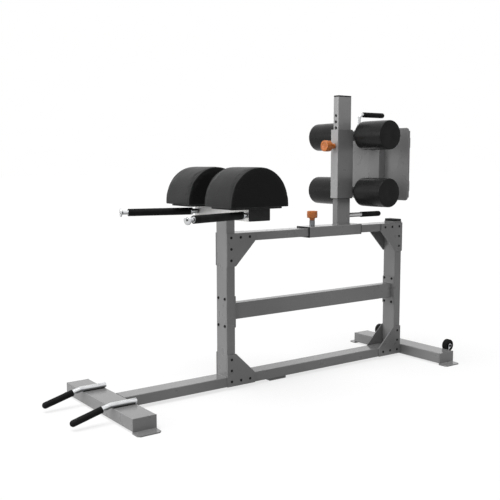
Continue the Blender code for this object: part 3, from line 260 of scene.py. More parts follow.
@dataclass(frozen=True)
class PowderCoat(Finish):
    """Grey powder coat on steel: orange peel, soft clouds, pale edges, and more gloss on faces that look up."""

    name: str = "grey_powder_coat"
    slot: Slot = Slot.PAINT
    colour: Triple = (0.196, 0.194, 0.197)
    rubbed: Triple = (0.33, 0.33, 0.335)
    gloss: tuple[float, float] = (0.27, 0.36)
    top_gloss: float = 0.13
    peel: float = 520.0

    def write(self, book: ShaderBook) -> None:
        """Writes clouds, rubbed edges, gloss and orange peel."""
        clouds = self.coat(book)
        wear = book.add("ShaderNodeMath", operation="MULTIPLY")
        book.join(book.edge(0.0012), wear.inputs[0])
        book.join(book.spread(book.noise(38.0, 4.0), (0.45, 0.75), (0.0, 0.55)), wear.inputs[1])
        book.colour(book.blend(wear.outputs["Value"], clouds, self.rubbed))
        haze = book.spread(book.noise(16.0, 3.0), (0.35, 0.65), self.gloss)
        upward = book.spread(book.facing((0.0, 0.0, 1.0)), (0.90, 0.98), (0.0, 1.0))
        smooth = book.add("ShaderNodeMix", data_type="FLOAT")
        book.join(upward, smooth.inputs["Factor"])
        book.join(haze, smooth.inputs["A"])
        smooth.inputs["B"].default_value = self.top_gloss
        book.roughness(smooth.outputs["Result"])
        book.normal(book.bump(book.noise(self.peel, 2.0), 0.00020, 0.16))
        book.put(IOR=1.5)

    def coat(self, book: ShaderBook) -> Socket:
        """The coat's own tone, in soft clouds."""
        light = tuple(1.05 * part for part in self.colour)
        dark = tuple(0.95 * part for part in self.colour)
        return book.blend(book.spread(book.noise(5.0, 3.0), (0.35, 0.65), (0.0, 1.0)), dark, light)


@dataclass(frozen=True)
class SleeveCoat(PowderCoat):
    """The mast sleeve's coat, with painted light on its front face: a paler tone there, matched to the photo."""

    name: str = "sleeve_powder_coat"
    # The tone of the painted light, on the faces that look to -X.
    pale: Triple = (0.335, 0.332, 0.336)

    def coat(self, book: ShaderBook) -> Socket:
        """The coat with painted light on its front: paler where a face looks to -X."""
        # Painted light: faces toward -X mix toward the pale tone.
        front = book.spread(book.facing((-1.0, 0.0, 0.0)), (0.75, 0.95), (0.0, 1.0))
        return book.blend(front, super().coat(book), self.pale)


@dataclass(frozen=True)
class MastCoat(PowderCoat):
    """The mast's coat, with painted light on its upper part: a paler tone there, matched to the photo."""

    name: str = "mast_powder_coat"
    # The tone of the painted light on the mast's upper part.
    pale: Triple = (0.315, 0.312, 0.316)
    rise: tuple[float, float] = (1.245, 1.275)

    def coat(self, book: ShaderBook) -> Socket:
        """The coat, with painted light above the rise: paler there."""
        split = book.add("ShaderNodeSeparateXYZ")
        book.join(book.place, split.inputs["Vector"])
        # Painted light: the colour turns pale above the rise.
        above = book.spread(split.outputs["Z"], self.rise, (0.0, 1.0))
        return book.blend(above, super().coat(book), self.pale)


@dataclass(frozen=True)
class ClearZinc(Finish):
    """Bright zinc plate on the pad tube, the wheel brackets and the pins' stems."""

    name: str = "clear_zinc"
    slot: Slot = Slot.ZINC
    colour: Triple = (0.52, 0.53, 0.55)
    polish: tuple[float, float] = (0.24, 0.40)

    def write(self, book: ShaderBook) -> None:
        """Writes a mottled, slightly brushed plate."""
        dark = tuple(0.88 * part for part in self.colour)
        book.colour(book.blend(book.spread(book.noise(60.0, 4.0), (0.3, 0.7), (0.0, 1.0)), dark, self.colour))
        book.roughness(book.spread(book.noise(90.0, 2.0), (0.3, 0.7), self.polish))
        book.normal(book.bump(book.noise(900.0, 1.0), 0.0001, 0.15))
        book.put(Metallic=1.0)


@dataclass(frozen=True)
class ChromePlate(Finish):
    """Polished chrome with faint smears, and a painted reflection: its colour darkened by direction where it would
    mirror a dark floor.
    """

    name: str = "polished_chrome"
    slot: Slot = Slot.CHROME
    colour: Triple = (0.84, 0.85, 0.86)
    # Painted reflection: the dark tone of faces that turn away from the bright way, as if mirroring a dark floor.
    below: Triple = (0.27, 0.275, 0.28)
    bright_way: Triple = (-0.30, -0.10, 0.95)

    def write(self, book: ShaderBook) -> None:
        """Writes a smooth plate whose roughness drifts, with a painted reflection that darkens its colour round its
        lower side.
        """
        smears = book.noise(30.0, 4.0, (1.0, 1.0, 2.2))
        book.roughness(book.spread(smears, (0.4, 0.7), (0.05, 0.17)))
        # Painted reflection: the colour runs from the dark tone to the plate's own as a face turns toward the
        # bright way.
        shade = book.spread(book.facing(self.bright_way), (-0.15, 0.70), (0.0, 1.0))
        plate = book.blend(shade, self.below, self.colour)
        # Smears mix the plate toward the same painted dark tone.
        book.colour(book.blend(book.spread(smears, (0.4, 0.7), (0.0, 0.25)), plate, self.below))
        book.put(Metallic=1.0)


@dataclass(frozen=True)
class BlackOxide(Finish):
    """Oiled black oxide on bolts, nuts and axles."""

    name: str = "black_oxide"
    slot: Slot = Slot.DARK_STEEL
    colour: Triple = (0.010, 0.010, 0.011)

    def write(self, book: ShaderBook) -> None:
        """Writes a dark plate that is brighter on its edges."""
        book.colour(book.blend(book.edge(0.0005), self.colour, (0.055, 0.055, 0.058)))
        book.roughness(book.spread(book.noise(150.0, 3.0), (0.3, 0.7), (0.34, 0.52)))
        book.put(Metallic=0.35, Specular_IOR_Level=0.15)


@dataclass(frozen=True)
class MouldedPlastic(Finish):
    """Black moulded plastic of the end caps and pad boards, with a fine spark texture."""

    name: str = "moulded_plastic"
    slot: Slot = Slot.PLASTIC
    colour: Triple = (0.011, 0.011, 0.012)

    def write(self, book: ShaderBook) -> None:
        """Writes a spark texture with worn edges."""
        rubbed = tuple(3.2 * part for part in self.colour)
        book.colour(book.blend(book.edge(0.0008), self.colour, rubbed))
        book.roughness(book.spread(book.noise(70.0, 3.0), (0.3, 0.7), (0.50, 0.64)))
        book.normal(book.bump(book.noise(1300.0, 2.0), 0.0002, 0.30))
        book.put(Specular_IOR_Level=0.22)


@dataclass(frozen=True)
class SleeveNylon(Finish):
    """Dark nylon of the slide liners, with draw marks along the run."""

    name: str = "sleeve_nylon"
    slot: Slot = Slot.LINER
    colour: Triple = (0.0070, 0.0070, 0.0074)

    def write(self, book: ShaderBook) -> None:
        """Writes a waxy plastic with long marks."""
        marks = book.noise(220.0, 2.0, (0.15, 1.0, 0.15))
        book.colour(book.blend(book.spread(marks, (0.4, 0.7), (0.0, 1.0)), self.colour, (0.014, 0.014, 0.0144)))
        book.roughness(book.spread(marks, (0.3, 0.7), (0.40, 0.55)))
        book.put(Specular_IOR_Level=0.08)


@dataclass(frozen=True)
class GripRubber(Finish):
    """Dense black rubber of the grips and wheels: dusty and shinier in soft patches."""

    name: str = "grip_rubber"
    slot: Slot = Slot.RUBBER
    colour: Triple = (0.0080, 0.0080, 0.0083)

    def write(self, book: ShaderBook) -> None:
        """Writes a matt rubber with a pebbled skin."""
        dust = book.spread(book.noise(45.0, 4.0), (0.5, 0.75), (0.0, 0.5))
        book.colour(book.blend(dust, self.colour, (0.015, 0.015, 0.0148)))
        book.roughness(book.spread(book.noise(24.0, 3.0), (0.35, 0.65), (0.48, 0.62)))
        book.normal(book.bump(book.noise(1100.0, 2.0), 0.0003, 0.25))
        book.put(Specular_IOR_Level=0.07)


@dataclass(frozen=True)
class KnobPlastic(Finish):
    """Orange moulded knobs of the pop pins, glossy."""

    name: str = "orange_knob"
    slot: Slot = Slot.ORANGE
    colour: Triple = (0.54, 0.155, 0.026)

    def write(self, book: ShaderBook) -> None:
        """Writes a glossy orange that pales on its edges."""
        deep = tuple(0.78 * part for part in self.colour)
        clouds = book.blend(book.spread(book.noise(55.0, 2.0), (0.3, 0.7), (0.0, 1.0)), deep, self.colour)
        book.colour(book.blend(book.edge(0.0010), clouds, (0.80, 0.36, 0.12)))
        book.roughness(book.spread(book.noise(80.0, 2.0), (0.3, 0.7), (0.26, 0.38)))
        book.put(Specular_IOR_Level=0.45)


@dataclass(frozen=True)
class Upholstery(Finish):
    """Black upholstery vinyl: a pebbled leather grain over soft clouds of gloss."""

    name: str = "upholstery_vinyl"
    slot: Slot = Slot.VINYL
    colour: Triple = (0.0215, 0.0215, 0.0220)
    shine: float = 0.16
    grain: float = 430.0

    def write(self, book: ShaderBook) -> None:
        """Writes grain, creases and gloss."""
        pebbles = book.cells(self.grain)
        hollow = book.spread(pebbles, (0.02, 0.16), (0.0, 1.0))
        dark = tuple(0.62 * part for part in self.colour)
        book.colour(book.blend(hollow, dark, self.colour))
        book.roughness(book.spread(book.noise(9.0, 3.0), (0.35, 0.65), (0.40, 0.50)))
        soft = book.bump(book.noise(34.0, 3.0), 0.0012, 0.12)
        book.normal(book.bump(hollow, 0.00018, 0.40, soft))
        book.put(Specular_IOR_Level=self.shine)


@dataclass(frozen=True)
class RollerFoam(Finish):
    """Black closed-cell foam with its moulded skin, of the ankle rollers."""

    name: str = "roller_foam"
    slot: Slot = Slot.FOAM
    colour: Triple = (0.0115, 0.0115, 0.0117)
    sheen: tuple[float, float] = (0.24, 0.32)

    def write(self, book: ShaderBook) -> None:
        """Writes pinhole cells on a slightly uneven skin."""
        cells = book.spread(book.cells(1050.0), (0.0, 0.12), (0.0, 1.0))
        worn = book.spread(book.noise(14.0, 4.0), (0.45, 0.7), (0.0, 1.0))
        pale = tuple(1.25 * part for part in self.colour)
        book.colour(book.blend(worn, self.colour, pale))
        book.roughness(book.spread(book.noise(30.0, 3.0), (0.35, 0.65), self.sheen))
        soft = book.bump(book.noise(48.0, 3.0), 0.0007, 0.08)
        book.normal(book.bump(cells, 0.00010, 0.15, soft))
        book.put(Specular_IOR_Level=0.12)


@dataclass(frozen=True)
class SeamThread(Finish):
    """Black nylon thread of the pads' seams."""

    name: str = "seam_thread"
    slot: Slot = Slot.VINYL
    colour: Triple = (0.020, 0.020, 0.021)

    def write(self, book: ShaderBook) -> None:
        """Writes twisted strands."""
        strands = book.spread(book.noise(2600.0, 2.0), (0.35, 0.65), (0.0, 1.0))
        book.colour(book.blend(strands, (0.010, 0.010, 0.011), self.colour))
        book.normal(book.bump(strands, 0.0001, 0.4))
        book.put(Roughness=0.6, Specular_IOR_Level=0.2)


PAINT = PowderCoat()
SLEEVE_PAINT = SleeveCoat()
MAST_PAINT = MastCoat()
ZINC = ClearZinc()
BAR_ZINC = ClearZinc("bar_zinc", slot=Slot.CHROME, colour=(0.50, 0.50, 0.505), polish=(0.42, 0.52))
TUBE_ZINC = ClearZinc("tube_zinc", colour=(0.60, 0.595, 0.59), polish=(0.46, 0.56))
CHROME = ChromePlate()
# The barrel shells' darker chrome, with the same painted reflection.
DARK_CHROME = ChromePlate("dark_chrome", colour=(0.28, 0.29, 0.30), below=(0.06, 0.062, 0.066))
OXIDE = BlackOxide()
PLASTIC = MouldedPlastic()
NYLON = SleeveNylon()
RUBBER = GripRubber()
ORANGE = KnobPlastic()
VINYL = Upholstery()
# The pads' end panels: a duller vinyl, whose darker colour is painted shade.
PANEL_PAINTED_SHADE = Upholstery("end_panel_vinyl_painted_shade", colour=(0.0140, 0.0140, 0.0144), shine=0.05)
FOAM = RollerFoam()
# The rollers' flat ends: a rougher foam, whose darker colour is painted shade.
END_FOAM_PAINTED_SHADE = RollerFoam("roller_end_foam_painted_shade", colour=(0.0068, 0.0068, 0.0070), sheen=(0.48, 0.60))
THREAD = SeamThread()


# Meshes and pieces


def centre(node: str) -> Vector:
    """The middle of a CAD node's box."""
    low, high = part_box(node)
    return (low + high) / 2


def piece(name: str, mesh: bpy.types.Mesh, finish: Finish) -> bpy.types.Object:
    """Links a mesh in world coordinates as a piece with a finish."""
    mesh.name = name
    mesh.materials.clear()
    mesh.materials.append(finish.material())
    thing = bpy.data.objects.new(name, mesh)
    bpy.context.scene.collection.objects.link(thing)
    return thing


def plain(thing: bpy.types.Object) -> bpy.types.Object:
    """Turns a piece's modifiers into its mesh, and removes them."""
    bpy.context.view_layer.update()
    graph = bpy.context.evaluated_depsgraph_get()
    mesh = bpy.data.meshes.new_from_object(thing.evaluated_get(graph), depsgraph=graph)
    thing.modifiers.clear()
    thing.data = mesh
    mesh.name = thing.name
    return thing


def settle(thing: bpy.types.Object, body: str, finish: Finish, replaced: Iterable[str] = ()) -> bpy.types.Object:
    """Makes a finished piece ride on its body, hides the CAD nodes that it replaces, and logs it.

    Args:
        thing: the piece, with no modifiers left.
        body: the name of the body that it rides on.
        finish: the finish whose name is logged.
        replaced: the CAD nodes that it stands for.

    Returns:
        The piece.
    """
    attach(thing, body)
    for node in replaced:
        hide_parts(node)
    LOG.info("%s rides on %s: %d faces, %s", thing.name, body, len(thing.data.polygons), finish.name)
    return thing


def node_body(node: str) -> str:
    """The body that a CAD node belongs to."""
    for body, nodes in frame["record"]["behaviour"]["bodies"].items():
        if node in nodes:
            return body
    raise KeyError(node)


def mesh_of(shape: bmesh.types.BMesh) -> bpy.types.Mesh:
    """Turns a bmesh into a mesh and frees it."""
    mesh = bpy.data.meshes.new("shape")
    shape.to_mesh(mesh)
    shape.free()
    return mesh


def shaded(mesh: bpy.types.Mesh, degrees: float = 35.0) -> bpy.types.Mesh:
    """Shades a mesh smooth, with its sharper edges kept."""
    mesh.shade_smooth()
    mesh.set_sharp_from_angle(angle=math.radians(degrees))
    return mesh


def aim(start: Sequence[float], way: Sequence[float]) -> Matrix:
    """A frame at start whose Z runs along way."""
    turn = Vector(way).to_track_quat("Z", "Y").to_matrix().to_4x4()
    return Matrix.Translation(start) @ turn


def lathe(
    profile: Profile, start: Sequence[float], way: Sequence[float], sides: int = 64, closed: bool = False,
) -> bpy.types.Mesh:
    """Spins a profile about an axis.

    Args:
        profile: points of (distance along the axis, radius).
        start: where the axis starts.
        way: the axis's direction.
        sides: how many faces go round.
        closed: whether the profile's ends meet, as in a tube.

    Returns:
        The closed mesh, in world coordinates.
    """
    shape = bmesh.new()
    rings = []
    for along, radius in profile:
        count = 1 if radius <= 0 else sides
        turns = [2 * math.pi * step / sides for step in range(count)]
        reach = max(radius, 0.0)
        rings.append([shape.verts.new((reach * math.cos(t), reach * math.sin(t), along)) for t in turns])
    pairs = list(zip(rings, rings[1:]))
    if closed:
        pairs.append((rings[-1], rings[0]))
    for one, other in pairs:
        for step in range(sides):
            corners = ((one, step), (one, step + 1), (other, step + 1), (other, step))
            face = list(dict.fromkeys(ring[turn % len(ring)] for ring, turn in corners))
            if len(face) > 2:
                shape.faces.new(face)
    bmesh.ops.recalc_face_normals(shape, faces=shape.faces)
    mesh = mesh_of(shape)
    mesh.transform(aim(start, way))
    return shaded(mesh)


def arc(
    along: float, radius: float, size: float, first: float, last: float, steps: int = 6,
) -> list[tuple[float, float]]:
    """Profile points of a rounded edge about (along, radius), turned from first to last degrees."""
    turns = [math.radians(first + (last - first) * step / steps) for step in range(steps + 1)]
    return [(along + size * math.cos(turn), radius + size * math.sin(turn)) for turn in turns]


def bent_rod(corners: Sequence[Sequence[float]], bend: float, radius: float) -> bpy.types.Mesh:
    """A round bar along straight runs with an arc at each inner corner.

    Args:
        corners: the ends and corners of its line.
        bend: the arcs' radius.
        radius: the bar's radius.

    Returns:
        The closed mesh.
    """
    points = [Vector(corners[0])]
    for before, corner, after in zip(corners, corners[1:], corners[2:]):
        corner = Vector(corner)
        back = (Vector(before) - corner).normalized()
        ahead = (Vector(after) - corner).normalized()
        half = back.angle(ahead) / 2
        middle = corner + (back + ahead).normalized() * (bend / math.sin(half))
        first = corner + back * (bend / math.tan(half)) - middle
        last = corner + ahead * (bend / math.tan(half)) - middle
        sweep = first.angle(last)
        for step in range(13):
            share = step / 12
            arm = (first * math.sin((1 - share) * sweep) + last * math.sin(share * sweep)) / math.sin(sweep)
            points.append(middle + arm)
    points.append(Vector(corners[-1]))
    curve = bpy.data.curves.new("rod", "CURVE")
    curve.dimensions = "3D"
    curve.bevel_depth = radius
    curve.bevel_resolution = 6
    curve.use_fill_caps = True
    spline = curve.splines.new("POLY")
    spline.points.add(len(points) - 1)
    for point, at in zip(spline.points, points):
        point.co = (*at, 1)
    holder = bpy.data.objects.new("rod", curve)
    mesh = bpy.data.meshes.new_from_object(holder)
    bpy.data.objects.remove(holder)
    bpy.data.curves.remove(curve)
    shape = bmesh.new()
    shape.from_mesh(mesh)
    bmesh.ops.remove_doubles(shape, verts=shape.verts, dist=1e-6)
    bmesh.ops.recalc_face_normals(shape, faces=shape.faces)
    shape.to_mesh(mesh)
    shape.free()
    return shaded(mesh)


def merged(node: str) -> bpy.types.Mesh:
    """A copy of a CAD node's mesh, with its loose triangles merged into flat faces."""
    shape = bmesh.new()
    shape.from_mesh(frame["nodes"][node].data)
    bmesh.ops.remove_doubles(shape, verts=shape.verts, dist=2e-6)
    bmesh.ops.dissolve_limit(shape, angle_limit=math.radians(0.4), verts=shape.verts, edges=shape.edges)
    return mesh_of(shape)


def soft_edged(node: str, finish: Finish, width: float = 0.0007, sharp: float = 50.0) -> bpy.types.Object:
    """Replaces a CAD node by a copy of the same shape with rounded edges and smooth corners.

    Args:
        node: the CAD node.
        finish: its finish.
        width: the width of the rounded edges, in metres.
        sharp: the least angle, in degrees, of an edge that gets rounded.

    Returns:
        The piece, which already rides on the node's body.
    """
    thing = piece(f"{node}.dressed", merged(node), finish)
    thing.data.shade_smooth()
    bevel = thing.modifiers.new("edges", "BEVEL")
    bevel.limit_method = "ANGLE"
    bevel.angle_limit = math.radians(sharp)
    bevel.width = width
    bevel.segments = 2
    bevel.use_clamp_overlap = True
    even = thing.modifiers.new("even", "WEIGHTED_NORMAL")
    even.keep_sharp = True
    even.weight = 80
    plain(thing)
    return settle(thing, node_body(node), finish, [node])


# Geometry node trees


class GeometryTree:
    """A geometry node tree with named inputs, that is run on a mesh of points or edges."""

    def __init__(self, name: str) -> None:
        """Starts an empty tree called name."""
        self.tree = bpy.data.node_groups.new(name, "GeometryNodeTree")
        self.tree.interface.new_socket("Geometry", in_out="INPUT", socket_type="NodeSocketGeometry")
        self.tree.interface.new_socket("Geometry", in_out="OUTPUT", socket_type="NodeSocketGeometry")
        self.source = self.tree.nodes.new("NodeGroupInput")
        self.result = self.tree.nodes.new("NodeGroupOutput")
        self.sockets: dict[str, str] = {}

    def ask(self, name: str, value: float, kind: str = "NodeSocketFloat") -> Socket:
        """Adds a named input with its usual value, and returns its output in the tree."""
        item = self.tree.interface.new_socket(name, in_out="INPUT", socket_type=kind)
        item.default_value = value
        self.sockets[name] = item.identifier
        return self.source.outputs[name]

    def add(self, kind: str, inputs: dict[str, object] | None = None, **settings: object) -> bpy.types.Node:
        """Adds a node of a kind: an input is a value or an output to join to it."""
        node = self.tree.nodes.new(kind)
        for name, value in settings.items():
            setattr(node, name, value)
        for name, value in (inputs or {}).items():
            socket = node.inputs[name]
            if isinstance(value, Socket):
                self.tree.links.new(value, socket)
            else:
                socket.default_value = value
        return node

    def sum(self, one: object, other: object, operation: str = "ADD") -> Socket:
        """A sum, or another operation, of two numbers or outputs."""
        node = self.tree.nodes.new("ShaderNodeMath")
        node.operation = operation
        for socket, value in zip(node.inputs, (one, other)):
            if isinstance(value, Socket):
                self.tree.links.new(value, socket)
            else:
                socket.default_value = value
        return node.outputs["Value"]

    def lifted(self, geometry: Socket, height: object) -> Socket:
        """Moves a geometry up by a height."""
        place = self.add("ShaderNodeCombineXYZ", {"Z": height})
        move = self.add("GeometryNodeTransform", {"Geometry": geometry, "Translation": place.outputs["Vector"]})
        return move.outputs["Geometry"]

    def end(self, geometry: Socket, finish: Finish, smooth: bool = True) -> None:
        """Ends the tree in Realize Instances and Set Material."""
        real = self.add("GeometryNodeRealizeInstances", {"Geometry": geometry})
        dressed = self.add("GeometryNodeSetMaterial", {"Geometry": real.outputs[0], "Material": finish.material()})
        last = dressed.outputs[0]
        if smooth:
            last = self.add("GeometryNodeSetShadeSmooth", {"Geometry": last, "Shade Smooth": True}).outputs[0]
        self.tree.links.new(last, self.result.inputs["Geometry"])

    def run(self, name: str, source: bpy.types.Mesh, finish: Finish, **values: float) -> bpy.types.Object:
        """Runs the tree on a mesh and keeps what it makes as a plain piece.

        Args:
            name: the piece's name.
            source: the points or edges that the tree reads.
            finish: the finish of what it makes.
            values: its inputs, with _ for a space in their names.

        Returns:
            The piece, with no modifiers.
        """
        thing = piece(name, source, finish)
        step = thing.modifiers.new("tree", "NODES")
        step.node_group = self.tree
        for word, value in values.items():
            step[self.sockets[word.replace("_", " ")]] = value
        plain(thing)
        thing.data.materials.clear()
        thing.data.materials.append(finish.material())
        return thing


class BoltTree(GeometryTree):
    """Bolts on points: a washer, a head with a socket, and a stub of shank in the hole."""

    def __init__(self, form: HeadForm) -> None:
        """Builds the tree for one form of head."""
        super().__init__(f"bolts_{form.name.lower()}")
        radius = self.ask("Head Radius", 0.006)
        height = self.ask("Head Height", 0.003)
        washer = self.ask("Washer", 0.0012)
        shank = self.ask("Shank Radius", 0.0045)
        depth = self.ask("Shank Depth", 0.004)
        disc = self.add(
            "GeometryNodeMeshCylinder",
            {"Vertices": 28, "Radius": self.sum(radius, 1.3, "MULTIPLY"), "Depth": washer},
        )
        flat = self.lifted(disc.outputs["Mesh"], self.sum(washer, 0.5, "MULTIPLY"))
        top = self.sum(radius, 0.80 if form is HeadForm.BUTTON else 0.94, "MULTIPLY")
        cone = self.add(
            "GeometryNodeMeshCone",
            {"Vertices": form.value, "Radius Bottom": radius, "Radius Top": top, "Depth": height},
        )
        head = self.lifted(cone.outputs["Mesh"], washer)
        key = self.add(
            "GeometryNodeMeshCylinder",
            {"Vertices": 6, "Radius": self.sum(radius, 0.46, "MULTIPLY"), "Depth": height},
        )
        rise = self.sum(washer, self.sum(height, 1.0, "MULTIPLY"))
        cut = self.add("GeometryNodeMeshBoolean", operation="DIFFERENCE", solver="EXACT")
        self.tree.links.new(head, cut.inputs["Mesh 1"])
        self.tree.links.new(self.lifted(key.outputs["Mesh"], rise), cut.inputs["Mesh 2"])
        rod = self.add("GeometryNodeMeshCylinder", {"Vertices": 12, "Radius": shank, "Depth": depth})
        stub = self.lifted(rod.outputs["Mesh"], self.sum(depth, -0.5, "MULTIPLY"))
        whole = self.add("GeometryNodeJoinGeometry")
        for part in (flat, cut.outputs["Mesh"] if form is HeadForm.BUTTON else head, stub):
            self.tree.links.new(part, whole.inputs["Geometry"])
        way = self.add("GeometryNodeInputNamedAttribute", {"Name": "way"}, data_type="FLOAT_VECTOR")
        turn = self.add("FunctionNodeAlignRotationToVector", {"Vector": way.outputs["Attribute"]}, axis="Z")
        points = self.add("GeometryNodeMeshToPoints", {"Mesh": self.source.outputs["Geometry"]})
        copies = self.add(
            "GeometryNodeInstanceOnPoints",
            {
                "Points": points.outputs["Points"], "Instance": whole.outputs["Geometry"],
                "Rotation": turn.outputs["Rotation"],
            },
        )
        self.end(copies.outputs["Instances"], OXIDE, smooth=False)


class BeadTree(GeometryTree):
    """Beads along edges: stitches, or the ripples of a weld, with a fixed seed for their sizes."""

    def __init__(self, name: str, finish: Finish) -> None:
        """Builds the tree for one finish."""
        super().__init__(name)
        pitch = self.ask("Pitch", 0.004)
        length = self.ask("Bead Length", 0.003)
        width = self.ask("Bead Width", 0.001)
        uneven = self.ask("Unevenness", 0.1)
        seed = self.ask("Seed", 3, "NodeSocketInt")
        line = self.add("GeometryNodeMeshToCurve", {"Mesh": self.source.outputs["Geometry"]})
        spaced = self.add(
            "GeometryNodeResampleCurve", {"Curve": line.outputs["Curve"], "Length": pitch}, mode="LENGTH",
        )
        bead = self.add("GeometryNodeMeshUVSphere", {"Segments": 8, "Rings": 5, "Radius": 0.5})
        size = self.add("ShaderNodeCombineXYZ", {"X": width, "Y": width, "Z": length})
        shaped = self.add(
            "GeometryNodeTransform", {"Geometry": bead.outputs["Mesh"], "Scale": size.outputs["Vector"]},
        )
        tangent = self.add("GeometryNodeInputTangent")
        turn = self.add("FunctionNodeAlignRotationToVector", {"Vector": tangent.outputs["Tangent"]}, axis="Z")
        random = self.add("FunctionNodeRandomValue", data_type="FLOAT")
        low = self.sum(1.0, uneven, "SUBTRACT")
        high = self.sum(1.0, uneven, "ADD")
        floats = [s for s in random.inputs if s.type == "VALUE"]
        self.tree.links.new(low, floats[0])
        self.tree.links.new(high, floats[1])
        self.tree.links.new(seed, random.inputs["Seed"])
        factor = next(s for s in random.outputs if s.type == "VALUE")
        copies = self.add(
            "GeometryNodeInstanceOnPoints",
            {
                "Points": spaced.outputs["Curve"], "Instance": shaped.outputs["Geometry"],
                "Rotation": turn.outputs["Rotation"], "Scale": factor,
            },
        )
        self.end(copies.outputs["Instances"], finish)


class RingTree(GeometryTree):
    """Ribs round an axis, such as the flutes of a knob."""

    def __init__(self, finish: Finish) -> None:
        """Builds the tree for one finish."""
        super().__init__(f"ribs_{finish.name}")
        count = self.ask("Count", 24, "NodeSocketInt")
        radius = self.ask("Radius", 0.02)
        length = self.ask("Rib Length", 0.02)
        width = self.ask("Rib Width", 0.0026)
        circle = self.add("GeometryNodeCurvePrimitiveCircle", {"Resolution": count, "Radius": radius})
        rib = self.add("GeometryNodeMeshUVSphere", {"Segments": 8, "Rings": 10, "Radius": 0.5})
        size = self.add("ShaderNodeCombineXYZ", {"X": width, "Y": width, "Z": length})
        shaped = self.add(
            "GeometryNodeTransform", {"Geometry": rib.outputs["Mesh"], "Scale": size.outputs["Vector"]},
        )
        ribs = self.add(
            "GeometryNodeInstanceOnPoints",
            {"Points": circle.outputs["Curve"], "Instance": shaped.outputs["Geometry"]},
        )
        way = self.add("GeometryNodeInputNamedAttribute", {"Name": "way"}, data_type="FLOAT_VECTOR")
        turn = self.add("FunctionNodeAlignRotationToVector", {"Vector": way.outputs["Attribute"]}, axis="Z")
        points = self.add("GeometryNodeMeshToPoints", {"Mesh": self.source.outputs["Geometry"]})
        copies = self.add(
            "GeometryNodeInstanceOnPoints",
            {
                "Points": points.outputs["Points"], "Instance": ribs.outputs["Instances"],
                "Rotation": turn.outputs["Rotation"],
            },
        )
        self.end(copies.outputs["Instances"], finish)


class BushTree(GeometryTree):
    """Flat rings on points, such as the dark rings of painted shade at a row of pin holes."""

    def __init__(self, finish: Finish) -> None:
        """Builds the tree for one finish."""
        super().__init__(f"bushes_{finish.name}")
        radius = self.ask("Ring Radius", 0.007)
        width = self.ask("Ring Width", 0.003)
        depth = self.ask("Ring Depth", 0.002)
        proud = self.ask("Proud", 0.0003)
        outer = self.add(
            "GeometryNodeMeshCylinder",
            {"Vertices": 40, "Radius": self.sum(radius, self.sum(width, 0.5, "MULTIPLY")), "Depth": depth},
        )
        inner = self.add(
            "GeometryNodeMeshCylinder",
            {"Vertices": 40, "Radius": self.sum(radius, self.sum(width, -0.5, "MULTIPLY")), "Depth": 0.05},
        )
        ring = self.add("GeometryNodeMeshBoolean", operation="DIFFERENCE", solver="EXACT")
        self.tree.links.new(outer.outputs["Mesh"], ring.inputs["Mesh 1"])
        self.tree.links.new(inner.outputs["Mesh"], ring.inputs["Mesh 2"])
        raised = self.lifted(ring.outputs["Mesh"], self.sum(proud, self.sum(depth, -0.5, "MULTIPLY")))
        way = self.add("GeometryNodeInputNamedAttribute", {"Name": "way"}, data_type="FLOAT_VECTOR")
        turn = self.add("FunctionNodeAlignRotationToVector", {"Vector": way.outputs["Attribute"]}, axis="Z")
        points = self.add("GeometryNodeMeshToPoints", {"Mesh": self.source.outputs["Geometry"]})
        copies = self.add(
            "GeometryNodeInstanceOnPoints",
            {"Points": points.outputs["Points"], "Instance": raised, "Rotation": turn.outputs["Rotation"]},
        )
        self.end(copies.outputs["Instances"], finish, smooth=False)


def sites(places: Iterable[tuple[Sequence[float], Sequence[float]]]) -> bpy.types.Mesh:
    """A mesh of points, each with the direction that its copy faces."""
    pairs = list(places)
    mesh = bpy.data.meshes.new("sites")
    mesh.from_pydata([tuple(at) for at, _ in pairs], [], [])
    ways = mesh.attributes.new("way", "FLOAT_VECTOR", "POINT")
    for item, (_, way) in zip(ways.data, pairs):
        item.vector = way
    return mesh


def lines(paths: Iterable[Sequence[Sequence[float]]]) -> bpy.types.Mesh:
    """A mesh of open edge paths."""
    points: list[tuple[float, ...]] = []
    edges: list[tuple[int, int]] = []
    for path in paths:
        start = len(points)
        points.extend(tuple(point) for point in path)
        edges.extend((start + step, start + step + 1) for step in range(len(path) - 1))
    mesh = bpy.data.meshes.new("lines")
    mesh.from_pydata(points, edges, [])
    return mesh


# Sub-assemblies


@dataclass
class Camera:
    """The photograph's camera: its solved place from the front post's face, its turn and its lens."""

    from_post: Triple = (-2.122726, -3.15912, 1.11394)
    heading: float = 36.0
    dip: float = 6.57
    roll: float = -0.08
    lens: float = 56.66
    shift: float = 0.0064

    def build(self) -> None:
        """Makes the camera and sets it as the scene's."""
        data = bpy.data.cameras.new("camera")
        data.sensor_width = 36.0
        data.lens = self.lens
        data.shift_y = self.shift
        data.clip_start = 0.05
        data.clip_end = 200.0
        heading, dip, roll = (math.radians(angle) for angle in (self.heading, self.dip, self.roll))
        ahead = Vector((math.sin(heading) * math.cos(dip), math.cos(heading) * math.cos(dip), -math.sin(dip)))
        level = Vector((math.cos(heading), -math.sin(heading), 0.0))
        upright = level.cross(ahead)
        right = level * math.cos(roll) + upright * math.sin(roll)
        up = upright * math.cos(roll) - level * math.sin(roll)
        turn = Matrix((right, up, -ahead)).transposed().to_4x4()
        thing = bpy.data.objects.new("camera", data)
        bpy.context.scene.collection.objects.link(thing)
        thing.matrix_world = Matrix.Translation(Vector((POST_X, 0, 0)) + Vector(self.from_post)) @ turn
        bpy.context.scene.camera = thing
        LOG.info("camera: lens %.2f mm", self.lens)


